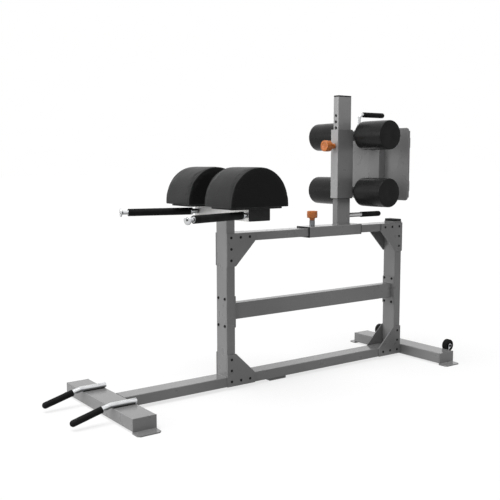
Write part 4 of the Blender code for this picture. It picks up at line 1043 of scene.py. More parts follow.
@dataclass
class Studio:
    """A white floor and backdrop, a soft sun from the front, and a dim sky for the object alone."""

    sky: float = 0.18
    front_glow: float = 0.85
    glow_from: Triple = (-0.93, 0.12, 0.30)
    sun: float = 0.78
    sun_way: Triple = (0.40, 0.10, -1.30)
    sun_width: float = 38.0
    fill: float = 0.34
    fill_way: Triple = (1.0, -0.42, -0.16)
    floor_show: float = 0.26
    floor_bounce: float = 0.34

    def build(self) -> None:
        """Makes the world, the lamp and the floor."""
        self.world()
        self.lamp("key", self.sun, self.sun_way)
        self.lamp("fill", self.fill, self.fill_way)
        self.floor()
        bpy.context.scene.view_settings.view_transform = "Standard"

    def seen(self, nodes: bpy.types.Nodes, links: bpy.types.NodeLinks) -> Socket:
        """1 for rays that show the background: camera, glossy and transmission rays."""
        path = nodes.new("ShaderNodeLightPath")
        most = path.outputs["Is Camera Ray"]
        for name in ("Is Glossy Ray", "Is Transmission Ray"):
            pick = nodes.new("ShaderNodeMath")
            pick.operation = "MAXIMUM"
            links.new(most, pick.inputs[0])
            links.new(path.outputs[name], pick.inputs[1])
            most = pick.outputs["Value"]
        return most

    def world(self) -> None:
        """White where it is seen, and a dim sky with a glow at the front for the light."""
        world = bpy.data.worlds.new("studio")
        bpy.context.scene.world = world
        world.use_nodes = True
        nodes, links = world.node_tree.nodes, world.node_tree.links
        nodes.clear()
        place = nodes.new("ShaderNodeTexCoord")
        facing = nodes.new("ShaderNodeVectorMath")
        facing.operation = "DOT_PRODUCT"
        facing.inputs[1].default_value = Vector(self.glow_from).normalized()
        links.new(place.outputs["Generated"], facing.inputs[0])
        glow = nodes.new("ShaderNodeMapRange")
        for name, value in (
            ("From Min", 0.0), ("From Max", 1.0), ("To Min", self.sky), ("To Max", self.sky + self.front_glow),
        ):
            glow.inputs[name].default_value = value
        links.new(facing.outputs["Value"], glow.inputs["Value"])
        light = nodes.new("ShaderNodeBackground")
        links.new(glow.outputs["Result"], light.inputs["Strength"])
        white = nodes.new("ShaderNodeBackground")
        for source in (light, white):
            source.inputs["Color"].default_value = (1, 1, 1, 1)
        mix = nodes.new("ShaderNodeMixShader")
        links.new(self.seen(nodes, links), mix.inputs["Fac"])
        links.new(light.outputs[0], mix.inputs[1])
        links.new(white.outputs[0], mix.inputs[2])
        out = nodes.new("ShaderNodeOutputWorld")
        links.new(mix.outputs[0], out.inputs["Surface"])

    def lamp(self, name: str, level: float, way: Triple) -> None:
        """A wide sun that shines along a direction."""
        data = bpy.data.lights.new(name, "SUN")
        data.energy = level * math.pi
        data.angle = math.radians(self.sun_width)
        thing = bpy.data.objects.new(name, data)
        bpy.context.scene.collection.objects.link(thing)
        thing.rotation_euler = Vector(way).to_track_quat("-Z", "Y").to_euler()

    def floor(self) -> None:
        """A wide floor: near white where it is seen, with the bench's soft shadow."""
        mesh = bpy.data.meshes.new("floor")
        half = 60.0
        mesh.from_pydata(
            [(-half, -half, 0), (half, -half, 0), (half, half, 0), (-half, half, 0)], [], [(0, 1, 2, 3)],
        )
        thing = bpy.data.objects.new("floor", mesh)
        bpy.context.scene.collection.objects.link(thing)
        material = bpy.data.materials.new("studio_floor")
        material.use_nodes = True
        nodes, links = material.node_tree.nodes, material.node_tree.links
        nodes.clear()
        glow = nodes.new("ShaderNodeEmission")
        glow.inputs["Color"].default_value = (1, 1, 1, 1)
        matt = nodes.new("ShaderNodeBsdfDiffuse")
        matt.inputs["Color"].default_value = (0.86, 0.86, 0.86, 1)
        shown = nodes.new("ShaderNodeMixShader")
        shown.inputs["Fac"].default_value = self.floor_show
        links.new(glow.outputs[0], shown.inputs[1])
        links.new(matt.outputs[0], shown.inputs[2])
        dim = nodes.new("ShaderNodeBsdfDiffuse")
        dim.inputs["Color"].default_value = (self.floor_bounce,) * 3 + (1,)
        mix = nodes.new("ShaderNodeMixShader")
        links.new(self.seen(nodes, links), mix.inputs["Fac"])
        links.new(dim.outputs[0], mix.inputs[1])
        links.new(shown.outputs[0], mix.inputs[2])
        out = nodes.new("ShaderNodeOutputMaterial")
        links.new(mix.outputs[0], out.inputs["Surface"])
        mesh.materials.append(material)


@dataclass
class SteelFrame:
    """The welded and bolted frame: every painted node, with its bolts and weld beads."""

    beam_nodes: tuple[str, ...] = (
        "base_beam", "front_cross_foot", "rear_cross_foot", "front_post", "rear_post", "top_beam", "mid_beam",
    )
    bolt_radius: float = 0.0052
    hole_edge: float = 0.025
    hole_pitch: float = 0.0555
    flange_side: float = 0.028
    flange_rise: float = 0.0675
    flange: float = 0.006
    beam_rise: float = 0.016

    def build(self) -> None:
        """Dresses the nodes and adds bolts and welds."""
        plates = [f"{end}_foot_end_{side.word}" for end in ("front", "rear") for side in Side]
        gussets = [
            f"{end}_{level}_gusset_{side.word}"
            for end in ("front", "rear")
            for level in ("upper", "lower")
            for side in Side
        ]
        for node in (*self.beam_nodes, *plates, *gussets):
            soft_edged(node, PAINT)
        soft_edged("pad_cross_tube", TUBE_ZINC)
        self.gusset_bolts()
        self.flange_bolts()
        self.welds()

    def gusset_bolts(self) -> None:
        """Low button bolts in the five holes of each gusset."""
        places = []
        for end in ("front", "rear"):
            for level in ("upper", "lower"):
                for side in Side:
                    low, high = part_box(f"{end}_{level}_gusset_{side.word}")
                    corner_x, along = (low.x, 1) if end == "front" else (high.x, -1)
                    beam = 0.042 if level == "upper" else 0.050
                    corner_z, up = (high.z, -1) if level == "upper" else (low.z, 1)
                    spots = [(self.hole_edge + step * self.hole_pitch, beam / 2) for step in range(3)]
                    spots += [(self.hole_edge, beam / 2 + step * self.hole_pitch) for step in (1, 2)]
                    face = high.y if side is Side.FAR else low.y
                    for px, pz in spots:
                        places.append(((corner_x + along * px, face, corner_z + up * pz), (0, side.value, 0)))
        bolts = BoltTree(HeadForm.BUTTON).run(
            "gusset_bolts", sites(places), OXIDE,
            Head_Radius=self.bolt_radius, Head_Height=0.0026, Washer=0.0006, Shank_Radius=0.0046,
            Shank_Depth=0.0045,
        )
        settle(bolts, Body.ROOT.value, OXIDE)

    def flange_bolts(self) -> None:
        """Hex bolts through the posts, with their nuts on the mid beam's flanges."""
        places = []
        middle = centre("mid_beam").z
        flange_low, flange_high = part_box("mid_beam")
        for node, way in (("front_post", -1), ("rear_post", 1)):
            low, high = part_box(node)
            outer = low.x if way < 0 else high.x
            inner = flange_low.x + self.flange if way < 0 else flange_high.x - self.flange
            for side in Side:
                for rise in (-1, 1):
                    y, z = side.value * self.flange_side, middle + rise * self.flange_rise
                    places.append(((outer, y, z), (way, 0, 0)))
                    places.append(((inner, y, z), (-way, 0, 0)))
        bolts = BoltTree(HeadForm.HEX).run(
            "flange_bolts", sites(places), OXIDE,
            Head_Radius=0.0058, Head_Height=0.0036, Washer=0.0010, Shank_Radius=0.0045, Shank_Depth=0.0025,
        )
        settle(bolts, Body.ROOT.value, OXIDE)

    def welds(self) -> None:
        """Painted weld beads where tubes meet without a plate."""
        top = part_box("base_beam")[1].z
        paths = []
        for node in ("front_post", "rear_post"):
            low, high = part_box(node)
            for x in (low.x - 0.001, high.x + 0.001):
                paths.append([(x, low.y + 0.006, top), (x, high.y - 0.006, top)])
        for x in (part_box("front_cross_foot")[1].x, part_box("rear_cross_foot")[0].x):
            for side in Side:
                y = side.value * 0.0452
                paths.append([(x, y, self.beam_rise + 0.004), (x, y, top - 0.005)])
        tube_low, tube_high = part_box("pad_cross_tube")
        post_low, post_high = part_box("front_post")
        for side in Side:
            y = side.value * 0.0456
            paths.append([(post_low.x + 0.006, y, tube_low.z), (post_high.x - 0.006, y, tube_low.z)])
        paths.append([(post_high.x + 0.001, -0.040, tube_low.z), (post_high.x + 0.001, 0.040, tube_low.z)])
        tree = BeadTree("weld_beads", PAINT)
        beads = tree.run(
            "frame_welds", lines(paths), PAINT, Pitch=0.0019, Bead_Length=0.0036, Bead_Width=0.0052,
            Unevenness=0.12, Seed=7,
        )
        settle(beads, Body.ROOT.value, PAINT)


@dataclass
class EndCaps:
    """The black plugs in the open tube ends and the boards under the pads."""

    nodes: tuple[str, ...] = (
        "rear_post_cap", "mast_cap", "pad_tube_cap_near", "pad_tube_cap_far", "pad_board_near", "pad_board_far",
    )

    def build(self) -> None:
        """Rounds each cap's edges."""
        for node in self.nodes:
            soft_edged(node, PLASTIC, 0.0012, 60.0)


@dataclass
class HipPad:
    """One upholstered half-round pad: foam under vinyl, swollen by a cloth run, with sewn end panels."""

    side: Side
    slack: float = 0.0002
    edge: float = 0.0012
    voxel: float = 0.0044
    pressure: float = 4.0
    cap: float = 0.0030
    seam_from_end: float = 0.011
    seam_depth: float = 0.0014
    seam_width: float = 0.0026
    arc_steps: int = 56

    def outline(self, half: float, straight: float, floor: float) -> list[tuple[float, float]]:
        """The side view of the pad: a half circle on short straight sides."""
        points = []
        for step in range(self.arc_steps + 1):
            turn = math.pi * step / self.arc_steps
            points.append((half * math.cos(turn), straight + half * math.sin(turn)))
        for step in range(5):
            points.append((-half, straight + (floor - straight) * (step + 1) / 5))
        for step in range(1, 16):
            points.append((-half + 2 * half * step / 16, floor))
        for step in range(5):
            points.append((half, floor + (straight - floor) * step / 5))
        return points

    def start(self, low: Vector, high: Vector) -> bpy.types.Mesh:
        """The slack shape that the cloth run fills out."""
        middle = (low + high) / 2
        half_width = (high.x - low.x) / 2 - self.slack
        straight = high.z - (high.x - low.x) / 2
        half_length = (high.y - low.y) / 2 - self.slack
        shape = bmesh.new()
        rings = []
        stations = [
            (-half_length, self.edge), (-half_length + self.edge * 0.3, self.edge * 0.3),
            (-half_length + self.edge, 0.0),
        ]
        stations += [(-along, inset) for along, inset in reversed(stations)]
        for along, inset in stations:
            ring = self.outline(half_width - inset, straight, low.z)
            rings.append([shape.verts.new((middle.x + x, middle.y + along, z)) for x, z in ring])
        for one, other in zip(rings, rings[1:]):
            for step in range(len(one)):
                after = (step + 1) % len(one)
                shape.faces.new((one[step], one[after], other[after], other[step]))
        shape.faces.new(rings[0])
        shape.faces.new(rings[-1])
        bmesh.ops.recalc_face_normals(shape, faces=shape.faces)
        return mesh_of(shape)

    def swell(self, thing: bpy.types.Object, floor: float) -> None:
        """Remeshes the pad and lets the cloth's pressure fill it, up to the cap."""
        remesh = thing.modifiers.new("voxels", "REMESH")
        remesh.mode = "VOXEL"
        remesh.voxel_size = self.voxel
        remesh.use_smooth_shade = True
        plain(thing)
        rest = [vertex.co.copy() for vertex in thing.data.vertices]
        held = thing.vertex_groups.new(name="held")
        held.add([index for index, at in enumerate(rest) if at.z < floor + 0.006], 1.0, "REPLACE")
        cloth = thing.modifiers.new("cloth", "CLOTH")
        cloth.settings.quality = 6
        cloth.settings.mass = 0.4
        cloth.settings.tension_stiffness = 25.0
        cloth.settings.compression_stiffness = 25.0
        cloth.settings.shear_stiffness = 15.0
        cloth.settings.bending_stiffness = 2.0
        cloth.settings.use_pressure = True
        cloth.settings.uniform_pressure_force = self.pressure
        cloth.settings.effector_weights.gravity = 0.0
        cloth.settings.vertex_group_mass = "held"
        cloth.collision_settings.use_collision = False
        scene = bpy.context.scene
        for number in range(1, 21):
            scene.frame_set(number)
        graph = bpy.context.evaluated_depsgraph_get()
        swollen = bpy.data.meshes.new_from_object(thing.evaluated_get(graph), depsgraph=graph)
        ends = [vertex.co.copy() for vertex in swollen.vertices]
        thing.modifiers.clear()
        scene.frame_set(1)
        for vertex, at, end in zip(thing.data.vertices, rest, ends):
            step = end - at
            vertex.co = at + (step if step.length <= self.cap else step.normalized() * self.cap)
        thing.vertex_groups.clear()

    def groove(self, mesh: bpy.types.Mesh, low: Vector, high: Vector) -> None:
        """Presses the two end seams into the wrap, and keeps the pad in its own space."""
        middle = (low.y + high.y) / 2
        line = (high.y - low.y) / 2 - self.seam_from_end
        for vertex in mesh.vertices:
            off = abs(abs(vertex.co.y - middle) - line)
            if off < 3 * self.seam_width and abs(vertex.normal.y) < 0.7 and vertex.co.z > low.z + 0.004:
                vertex.co -= vertex.normal * (self.seam_depth * math.exp(-((off / self.seam_width) ** 2)))
        for vertex in mesh.vertices:
            vertex.co.z = max(vertex.co.z, low.z)

    def panels(self, mesh: bpy.types.Mesh) -> None:
        """Gives the wrap its vinyl, and the flat end panels their duller one, whose darker colour is painted shade.
        """
        mesh.materials.clear()
        mesh.materials.append(VINYL.material())
        mesh.materials.append(PANEL_PAINTED_SHADE.material())
        for face in mesh.polygons:
            face.material_index = 1 if abs(face.normal.y) > 0.8 else 0

    def stitches(self, thing: bpy.types.Object, low: Vector, high: Vector) -> bpy.types.Object:
        """Stitches in both seams, laid on the swollen surface."""
        middle = (low.y + high.y) / 2
        centre_x = (low.x + high.x) / 2
        centre_z = high.z - (high.x - low.x) / 2
        line = (high.y - low.y) / 2 - self.seam_from_end
        paths = []
        for end in (-1, 1):
            path = []
            for step in range(111):
                turn = math.radians(-2 + 184 * step / 110)
                way = Vector((math.cos(turn), 0, math.sin(turn)))
                start = Vector((centre_x, middle + end * line, centre_z)) + way * 0.3
                hit, at, _, _ = thing.ray_cast(start, -way)
                if hit:
                    path.append(at + way * 0.0001)
            paths.append(path)
        tree = BeadTree(f"pad_stitches_{self.side.word}", THREAD)
        return tree.run(
            f"hip_pad_{self.side.word}.stitches", lines(paths), THREAD,
            Pitch=0.0046, Bead_Length=0.0034, Bead_Width=0.0009, Unevenness=0.05, Seed=11,
        )

    def build(self) -> None:
        node = f"hip_pad_{self.side.word}"
        low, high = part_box(node)
        thing = piece(f"{node}.cover", self.start(low, high), VINYL)
        self.swell(thing, low.z)
        smooth = thing.modifiers.new("smooth", "SUBSURF")
        smooth.levels = smooth.render_levels = 1
        plain(thing)
        self.groove(thing.data, low, high)
        thing.data.shade_smooth()
        self.panels(thing.data)
        bpy.context.view_layer.update()
        sewn = self.stitches(thing, low, high)
        settle(thing, Body.ROOT.value, VINYL, [node])
        settle(sewn, Body.ROOT.value, THREAD)


@dataclass
class GripShape:
    """A rubber grip: its bore, its skin and three rings moulded at each end."""

    bore: float
    radius: float
    edge: float = 0.002
    ring_gap: float = 0.007
    ring_depth: float = 0.0007

    def skin(self, start: float, end: float) -> list[tuple[float, float]]:
        """The outer line from one end to the other, with its rings."""
        points = arc(start + self.edge, self.radius - self.edge, self.edge, 180, 90)
        marks = [start + self.ring_gap * step for step in (2, 3, 4)]
        marks += [end - self.ring_gap * step for step in (4, 3, 2)]
        for mark in marks:
            for off, sink in ((-0.0012, 0.0), (-0.0005, 1.0), (0.0005, 1.0), (0.0012, 0.0)):
                points.append((mark + off, self.radius - sink * self.ring_depth))
        return points

    def open_profile(self, start: float, end: float) -> list[tuple[float, float]]:
        """A grip that is open at both ends."""
        points = [(end, self.bore), (start, self.bore)] + self.skin(start, end)
        return points + arc(end - self.edge, self.radius - self.edge, self.edge, 90, 0)

    def blind_profile(self, length: float, bar_end: float) -> list[tuple[float, float]]:
        """A grip with a round closed end, over a bar that ends inside it."""
        points = [(bar_end, 0.0), (bar_end, self.bore), (0.0, self.bore)] + self.skin(0.0, length - self.radius)
        return points + arc(length - self.radius, 0.0, self.radius, 90, 0, 12)[:-1] + [(length, 0.0)]


@dataclass
class FrontHandle:
    """A splayed chrome handle on the pad tube, with its collar, grip, flared neck and end disc."""

    side: Side
    spread: float = 0.212
    splay: float = 14.6
    length: float = 0.395
    bar: float = 0.0125
    collar: Triple = (0.028, 0.038, 0.0185)
    grip_start: float = 0.0383
    grip_end: float = 0.3563
    grip_radius: float = 0.0182
    neck: float = 0.0100
    disc: float = 0.0215
    disc_thick: float = 0.005

    def build(self) -> None:
        """Turns the bar and its grip."""
        level = centre("pad_cross_tube").z
        tilt = math.radians(self.splay)
        start = (POST_X - 0.0003, self.side.value * self.spread, level)
        way = (-math.cos(tilt), self.side.value * math.sin(tilt), 0)
        first, last, wide = self.collar
        root = (self.bar + 0.0003) * math.tan(tilt)
        face = self.length - self.disc_thick
        flare = self.disc - self.neck
        bar = [(root, 0.0), (root, self.bar), (first, self.bar), (first, wide - 0.001), (first + 0.001, wide)]
        bar += [(last - 0.001, wide), (last, wide - 0.001), (last, self.bar), (self.grip_end - 0.0003, self.bar)]
        bar += [(self.grip_end - 0.0003, self.neck)] + arc(face - flare, self.disc, flare, -90, 0, 14)
        bar += arc(self.length - 0.0015, self.disc - 0.0015, 0.0015, 90, 0, 3)
        bar += [(self.length - 0.0006, 0.0100), (self.length - 0.0006, 0.0068), (self.length, 0.0064)]
        bar += [(self.length, 0.0060), (self.length - 0.003, 0.0056), (self.length - 0.003, 0.0)]
        word = self.side.word
        thing = piece(f"front_handle_bar_{word}.turned", lathe(bar, start, way), CHROME)
        settle(thing, Body.ROOT.value, CHROME, [f"front_handle_bar_{word}"])
        # A black disc in the recess at the bar's end: painted shade of the recess.
        shade_disc = [
            (self.length - 0.0035, 0.0), (self.length - 0.0035, 0.0048), (self.length - 0.0010, 0.0048),
            (self.length - 0.0010, 0.0),
        ]
        settle(
            piece(f"front_handle_bar_{word}.plug", lathe(shade_disc, start, way, 32), PLASTIC), Body.ROOT.value, PLASTIC,
        )
        shape = GripShape(self.bar + 0.0003, self.grip_radius)
        mesh = lathe(shape.open_profile(self.grip_start, self.grip_end), start, way, closed=True)
        settle(
            piece(f"front_handle_grip_{word}.moulded", mesh, RUBBER), Body.ROOT.value, RUBBER,
            [f"front_handle_grip_{word}"],
        )


@dataclass
class FloorHandle:
    """A chrome bar across the front foot that bends down to a round-ended grip."""

    side: Side
    spread: float = 0.153
    radius: float = 0.0125
    slope: float = 15.0
    bend: float = 0.045
    overhang: float = 0.012
    grip_from_corner: float = 0.038
    grip_length: float = 0.151
    wall: float = 0.0022

    def build(self) -> None:
        """Bends the bar and moulds its grip."""
        foot_low, foot_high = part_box("front_cross_foot")
        y = self.side.value * self.spread
        level = foot_high.z + 0.0003 + self.radius
        tilt = math.radians(self.slope)
        way = Vector((-math.cos(tilt), 0, -math.sin(tilt)))
        corner = Vector((foot_low.x - self.overhang, y, level))
        outer = self.radius + 0.0003 + self.wall
        reach = self.grip_length - 2 * outer
        tip = corner + way * (self.grip_from_corner + reach)
        word = self.side.word
        mesh = bent_rod([(foot_high.x + 0.001, y, level), corner, tip], self.bend, self.radius)
        settle(
            piece(f"floor_handle_bar_{word}.bent", mesh, CHROME), Body.ROOT.value, CHROME,
            [f"floor_handle_bar_{word}"],
        )
        shape = GripShape(self.radius + 0.0003, outer, 0.0014)
        mesh = lathe(
            shape.blind_profile(self.grip_length, reach + 0.0003), corner + way * self.grip_from_corner, way,
        )
        settle(
            piece(f"floor_handle_grip_{word}.moulded", mesh, RUBBER), Body.ROOT.value, RUBBER,
            [f"floor_handle_grip_{word}"],
        )


@dataclass
class TransportWheel:
    """A solid rubber wheel in its zinc-plated fork, on a bolt."""

    side: Side
    bore: float = 0.0043
    hub: float = 0.009
    web_sink: float = 0.003
    rim: float = 0.022
    groove: float = 0.0008

    def build(self) -> None:
        """Turns the wheel, dresses its fork and adds the bolt's ends."""
        word = self.side.word
        node = f"transport_wheel_{word}"
        low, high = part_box(node)
        middle = (low + high) / 2
        half = (high.y - low.y) / 2
        radius = (high.z - low.z) / 2
        profile = [(-half, self.bore), (-half, self.hub), (-half + self.web_sink, self.hub + 0.0015)]
        profile += [(-half + self.web_sink, self.rim), (-half, self.rim + 0.002), (-half, radius - 0.0058)]
        profile += arc(-half + 0.0045, radius - 0.0045, 0.0045, 170, 95, 6)
        for off in (-0.0042, 0.0042):
            profile += [
                (off - 0.0011, radius), (off - 0.0005, radius - self.groove), (off + 0.0005, radius - self.groove),
                (off + 0.0011, radius),
            ]
        profile += [(-along, reach) for along, reach in reversed(profile[:13])]
        mesh = lathe(profile, middle, (0, 1, 0), 72, closed=True)
        settle(piece(f"{node}.turned", mesh, RUBBER), f"wheel_{word}", RUBBER, [node])
        fork = f"wheel_bracket_{word}"
        soft_edged(fork, ZINC, 0.0005)
        fork_low, fork_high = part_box(fork)
        places = [((middle.x, fork_high.y, middle.z), (0, 1, 0)), ((middle.x, fork_low.y, middle.z), (0, -1, 0))]
        ends = BoltTree(HeadForm.HEX).run(
            f"{fork}.bolt", sites(places), OXIDE,
            Head_Radius=0.0062, Head_Height=0.0036, Washer=0.0010, Shank_Radius=0.0035, Shank_Depth=0.001,
        )
        settle(ends, Body.ROOT.value, OXIDE)


@dataclass
class PopPin:
    """A spring pull pin: a fluted orange knob with its collar on a plated stem, and the barrel's plated shell."""

    node: str
    body: Body
    carrier: Body
    way: Triple
    shell_length: float
    knob_radius: float
    knob_length: float
    reach: float
    collar: float
    plain_knob: float = 0.033
    barrel_radius: float = 0.0125
    shell_radius: float = 0.0146
    stem: float = 0.005

    def build(self) -> None:
        """Turns the stem, the knob, its flutes and the barrel's shell."""
        way = Vector(self.way)
        low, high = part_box(self.node)
        span = (high - low).dot(Vector(abs(part) for part in way))
        middle = (low + high) / 2
        foot = middle - way * (span / 2)
        seat = span - self.plain_knob
        stem = [
            (0.0, 0.0), (0.0, self.stem - 0.001), (0.001, self.stem), (seat + 0.001, self.stem),
            (seat + 0.001, 0.0),
        ]
        settle(piece(f"{self.node}.stem", lathe(stem, foot, way, 32), ZINC), self.body.value, ZINC)
        self.knob(foot, way, seat, span + self.reach)
        if self.shell_length > 0:
            self.shell(foot + way * (seat - 0.0006), way)

    def knob(self, foot: Vector, way: Vector, seat: float, top: float) -> None:
        """The knob, whose collar runs down over the barrel's mouth, with its flutes."""
        radius, edge, bore = self.knob_radius, 0.0022, self.barrel_radius + 0.0002
        under = top - self.knob_length
        mouth = seat - self.collar
        head = [(seat + 0.0002, 0.0), (seat + 0.0002, bore), (mouth, bore), (mouth, bore + 0.0010)]
        head += [(under - 0.003, bore + 0.0022), (under, bore + 0.0030), (under, radius - edge)]
        head += arc(under + edge, radius - edge, edge, 180, 90, 4) + arc(top - edge, radius - edge, edge, 90, 0, 4)
        head += [(top, 0.0190), (top - 0.0010, 0.0178), (top - 0.0016, 0.0160), (top - 0.0016, 0.0)]
        thing = piece(f"{self.node}.knob", lathe(head, foot, way, 72), ORANGE)
        settle(thing, self.body.value, ORANGE, [self.node])
        middle = foot + way * (top - self.knob_length / 2)
        ribs = RingTree(ORANGE).run(
            f"{self.node}.ribs", sites([(middle, way)]), ORANGE,
            Count=28, Radius=radius - 0.0009, Rib_Length=self.knob_length * 0.84, Rib_Width=0.0026,
        )
        settle(ribs, self.body.value, ORANGE)

    def shell(self, mouth: Vector, way: Vector) -> None:
        """The plated shell over the barrel, up to the collar."""
        radius, bore, last = self.shell_radius, self.barrel_radius + 0.0001, -self.collar - 0.0006
        first = last - self.shell_length
        profile = [(first, bore), (first, radius), (last - 0.0015, radius), (last, radius - 0.0015), (last, bore)]
        thing = piece(f"{self.node}.barrel_shell", lathe(profile, mouth, way, 48, closed=True), DARK_CHROME)
        settle(thing, self.carrier.value, DARK_CHROME)


@dataclass
class SliderUnit:
    """The slider on the top beam: sleeve, liner flanges, mast and the handle that pulls it."""

    flange: float = 0.0036
    hole_pitch: float = 0.032
    steps: range = range(-1, 6)
    # The dark rings of painted shade at the mast's pin holes.
    bush_radius: float = 0.0070
    bush_width: float = 0.0029
    bush_depth: float = 0.0140
    bush_proud: float = 0.0003

    def build(self) -> None:
        """Dresses the slider's nodes and turns its handle."""
        soft_edged("slider_sleeve", PAINT)
        soft_edged("mast", MAST_PAINT)
        soft_edged("slider_liner", NYLON, 0.0004)
        self.flanges()
        self.bushes()
        self.handle()
        self.welds()

    def bushes(self) -> None:
        """Black nylon rings at the mast's pin holes, all but flush with its front: painted shade that makes the
        holes read larger and darker.
        """
        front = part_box("mast")[0].x
        level = centre("lift_pin").z
        places = [((front, 0.0, level + step * self.hole_pitch), (-1, 0, 0)) for step in self.steps]
        rings = BushTree(NYLON).run(
            "mast.bushes", sites(places), NYLON,
            Ring_Radius=self.bush_radius, Ring_Width=self.bush_width, Ring_Depth=self.bush_depth,
            Proud=self.bush_proud,
        )
        settle(rings, Body.SLIDER.value, NYLON)

    def flanges(self) -> None:
        """Black flanges of the liner at both ends of the sleeve."""
        low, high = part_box("slider_sleeve")
        beam_low, beam_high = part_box("top_beam")
        liner_low, liner_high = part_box("slider_liner")
        half_y, z0, z1 = high.y, beam_low.z - 0.0003 - 0.006 - 0.0006, beam_high.z + 0.0003 + 0.006 + 0.0006
        gap = 0.0006
        inner = (beam_high.y + gap, beam_low.z - gap, beam_high.z + gap)
        for name, start in (("front", low.x - self.flange), ("rear", liner_high.x)):
            ring_piece(f"slider_liner.flange_{name}", (half_y, z0, z1), inner, start, self.flange, "x", Body.SLIDER)

    def handle(self) -> None:
        """The chrome bar behind the mast and its grip."""
        low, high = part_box("slide_handle_bar")
        level = (low.z + high.z) / 2
        radius = (high.z - low.z) / 2
        bar = [(0.0, 0.0), (0.0, radius), (0.0015, radius)]
        length = high.x - low.x
        bar += [(length, radius), (length, 0.0)]
        thing = piece("slide_handle_bar.turned", lathe(bar, (low.x, 0, level), (1, 0, 0), 48), BAR_ZINC)
        settle(thing, Body.SLIDER.value, BAR_ZINC, ["slide_handle_bar"])
        grip_low, grip_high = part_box("slide_handle_grip")
        shape = GripShape(radius + 0.0003, (grip_high.z - grip_low.z) / 2, 0.0014)
        mesh = lathe(
            shape.blind_profile(grip_high.x - grip_low.x, high.x - grip_low.x + 0.0003), (grip_low.x, 0, level),
            (1, 0, 0),
        )
        settle(piece("slide_handle_grip.moulded", mesh, RUBBER), Body.SLIDER.value, RUBBER, ["slide_handle_grip"])

    def welds(self) -> None:
        """A weld bead round the mast's foot."""
        low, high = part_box("mast")
        z = low.z + 0.0006
        x0, x1, y0, y1 = low.x - 0.0006, high.x + 0.0006, low.y - 0.0006, high.y + 0.0006
        loop = [(x0, y0, z), (x1, y0, z), (x1, y1, z), (x0, y1, z), (x0, y0, z)]
        beads = BeadTree("mast_weld_beads", PAINT).run(
            "mast.weld", lines([loop]), PAINT,
            Pitch=0.0019, Bead_Length=0.0036, Bead_Width=0.0044, Unevenness=0.12, Seed=5
        )
        settle(beads, Body.SLIDER.value, PAINT)


def ring_piece(name: str, outer: Triple, inner: Triple, start: float, thick: float, axis: str, body: Body) -> None:
    """A flat rectangular ring across an axis, such as a liner's flange.

    Args:
        name: the piece's name.
        outer: its half width and its two other limits.
        inner: the same of its opening.
        start: where it starts along the axis.
        thick: its thickness.
        axis: x, or z for a ring that lies flat.
        body: what it rides on.
    """
    shape = bmesh.new()
    loops = []
    for depth in (0.0, thick):
        for half, low, high in (outer, inner):
            corners = [(-half, low), (half, low), (half, high), (-half, high)]
            if axis == "x":
                loops.append([shape.verts.new((start + depth, a, b)) for a, b in corners])
            else:
                loops.append([shape.verts.new((b, a, start + depth)) for a, b in corners])
    outer_low, inner_low, outer_high, inner_high = loops
    for one, other in (
        (outer_low, inner_low), (inner_high, outer_high), (outer_high, outer_low), (inner_low, inner_high),
    ):
        for step in range(4):
            after = (step + 1) % 4
            shape.faces.new((one[step], one[after], other[after], other[step]))
    bmesh.ops.recalc_face_normals(shape, faces=shape.faces)
    thing = piece(name, mesh_of(shape), NYLON)
    bevel = thing.modifiers.new("edges", "BEVEL")
    bevel.width = 0.0005
    bevel.segments = 2
    bevel.limit_method = "ANGLE"
    plain(thing)
    shaded(thing.data, 30.0)
    settle(thing, body.value, NYLON)


@dataclass
class AnkleRoller:
    """A foam roller with tight round ends and a slight crown."""

    level: str
    side: Side
    edge: float = 0.0045
    crown: float = 0.0008
    dish: float = 0.0025

    def profile(self, length: float, radius: float) -> list[tuple[float, float]]:
        """The roller's section, from its inner face to its closed outer end."""
        bore, bore_end = 0.0130, length - 0.014
        points = [(bore_end, 0.0), (bore_end, bore), (0.0015, bore), (0.0, bore + 0.002), (0.0, radius * 0.55)]
        points += arc(self.edge, radius - self.crown - self.edge, self.edge, 178, 92, 12)
        for step in range(1, 16):
            share = step / 16
            bulge = self.crown * math.sin(math.pi * share)
            points.append((self.edge + (length - 2 * self.edge) * share, radius - self.crown + bulge))
        points += arc(length - self.edge, radius - self.crown - self.edge, self.edge, 88, 2, 12)
        points += [(length - 0.0002, radius * 0.6), (length - 0.0010, radius * 0.3), (length - self.dish, 0.010)]
        return points + [(length - self.dish, 0.0)]

    def build(self) -> None:
        node = f"{self.level}_roller_{self.side.word}"
        low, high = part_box(node)
        middle = (low + high) / 2
        inner = low.y if self.side is Side.FAR else high.y
        profile = self.profile(high.y - low.y, (high.z - low.z) / 2)
        mesh = lathe(profile, (middle.x, inner, middle.z), (0, self.side.value, 0), 96)
        thing = piece(f"{node}.foam", mesh, FOAM)
        # The flat ends take the darker foam: painted shade.
        mesh.materials.append(END_FOAM_PAINTED_SHADE.material())
        for face in mesh.polygons:
            face.material_index = 1 if abs(face.normal.y) > 0.8 else 0
        settle(thing, node, FOAM, [node])


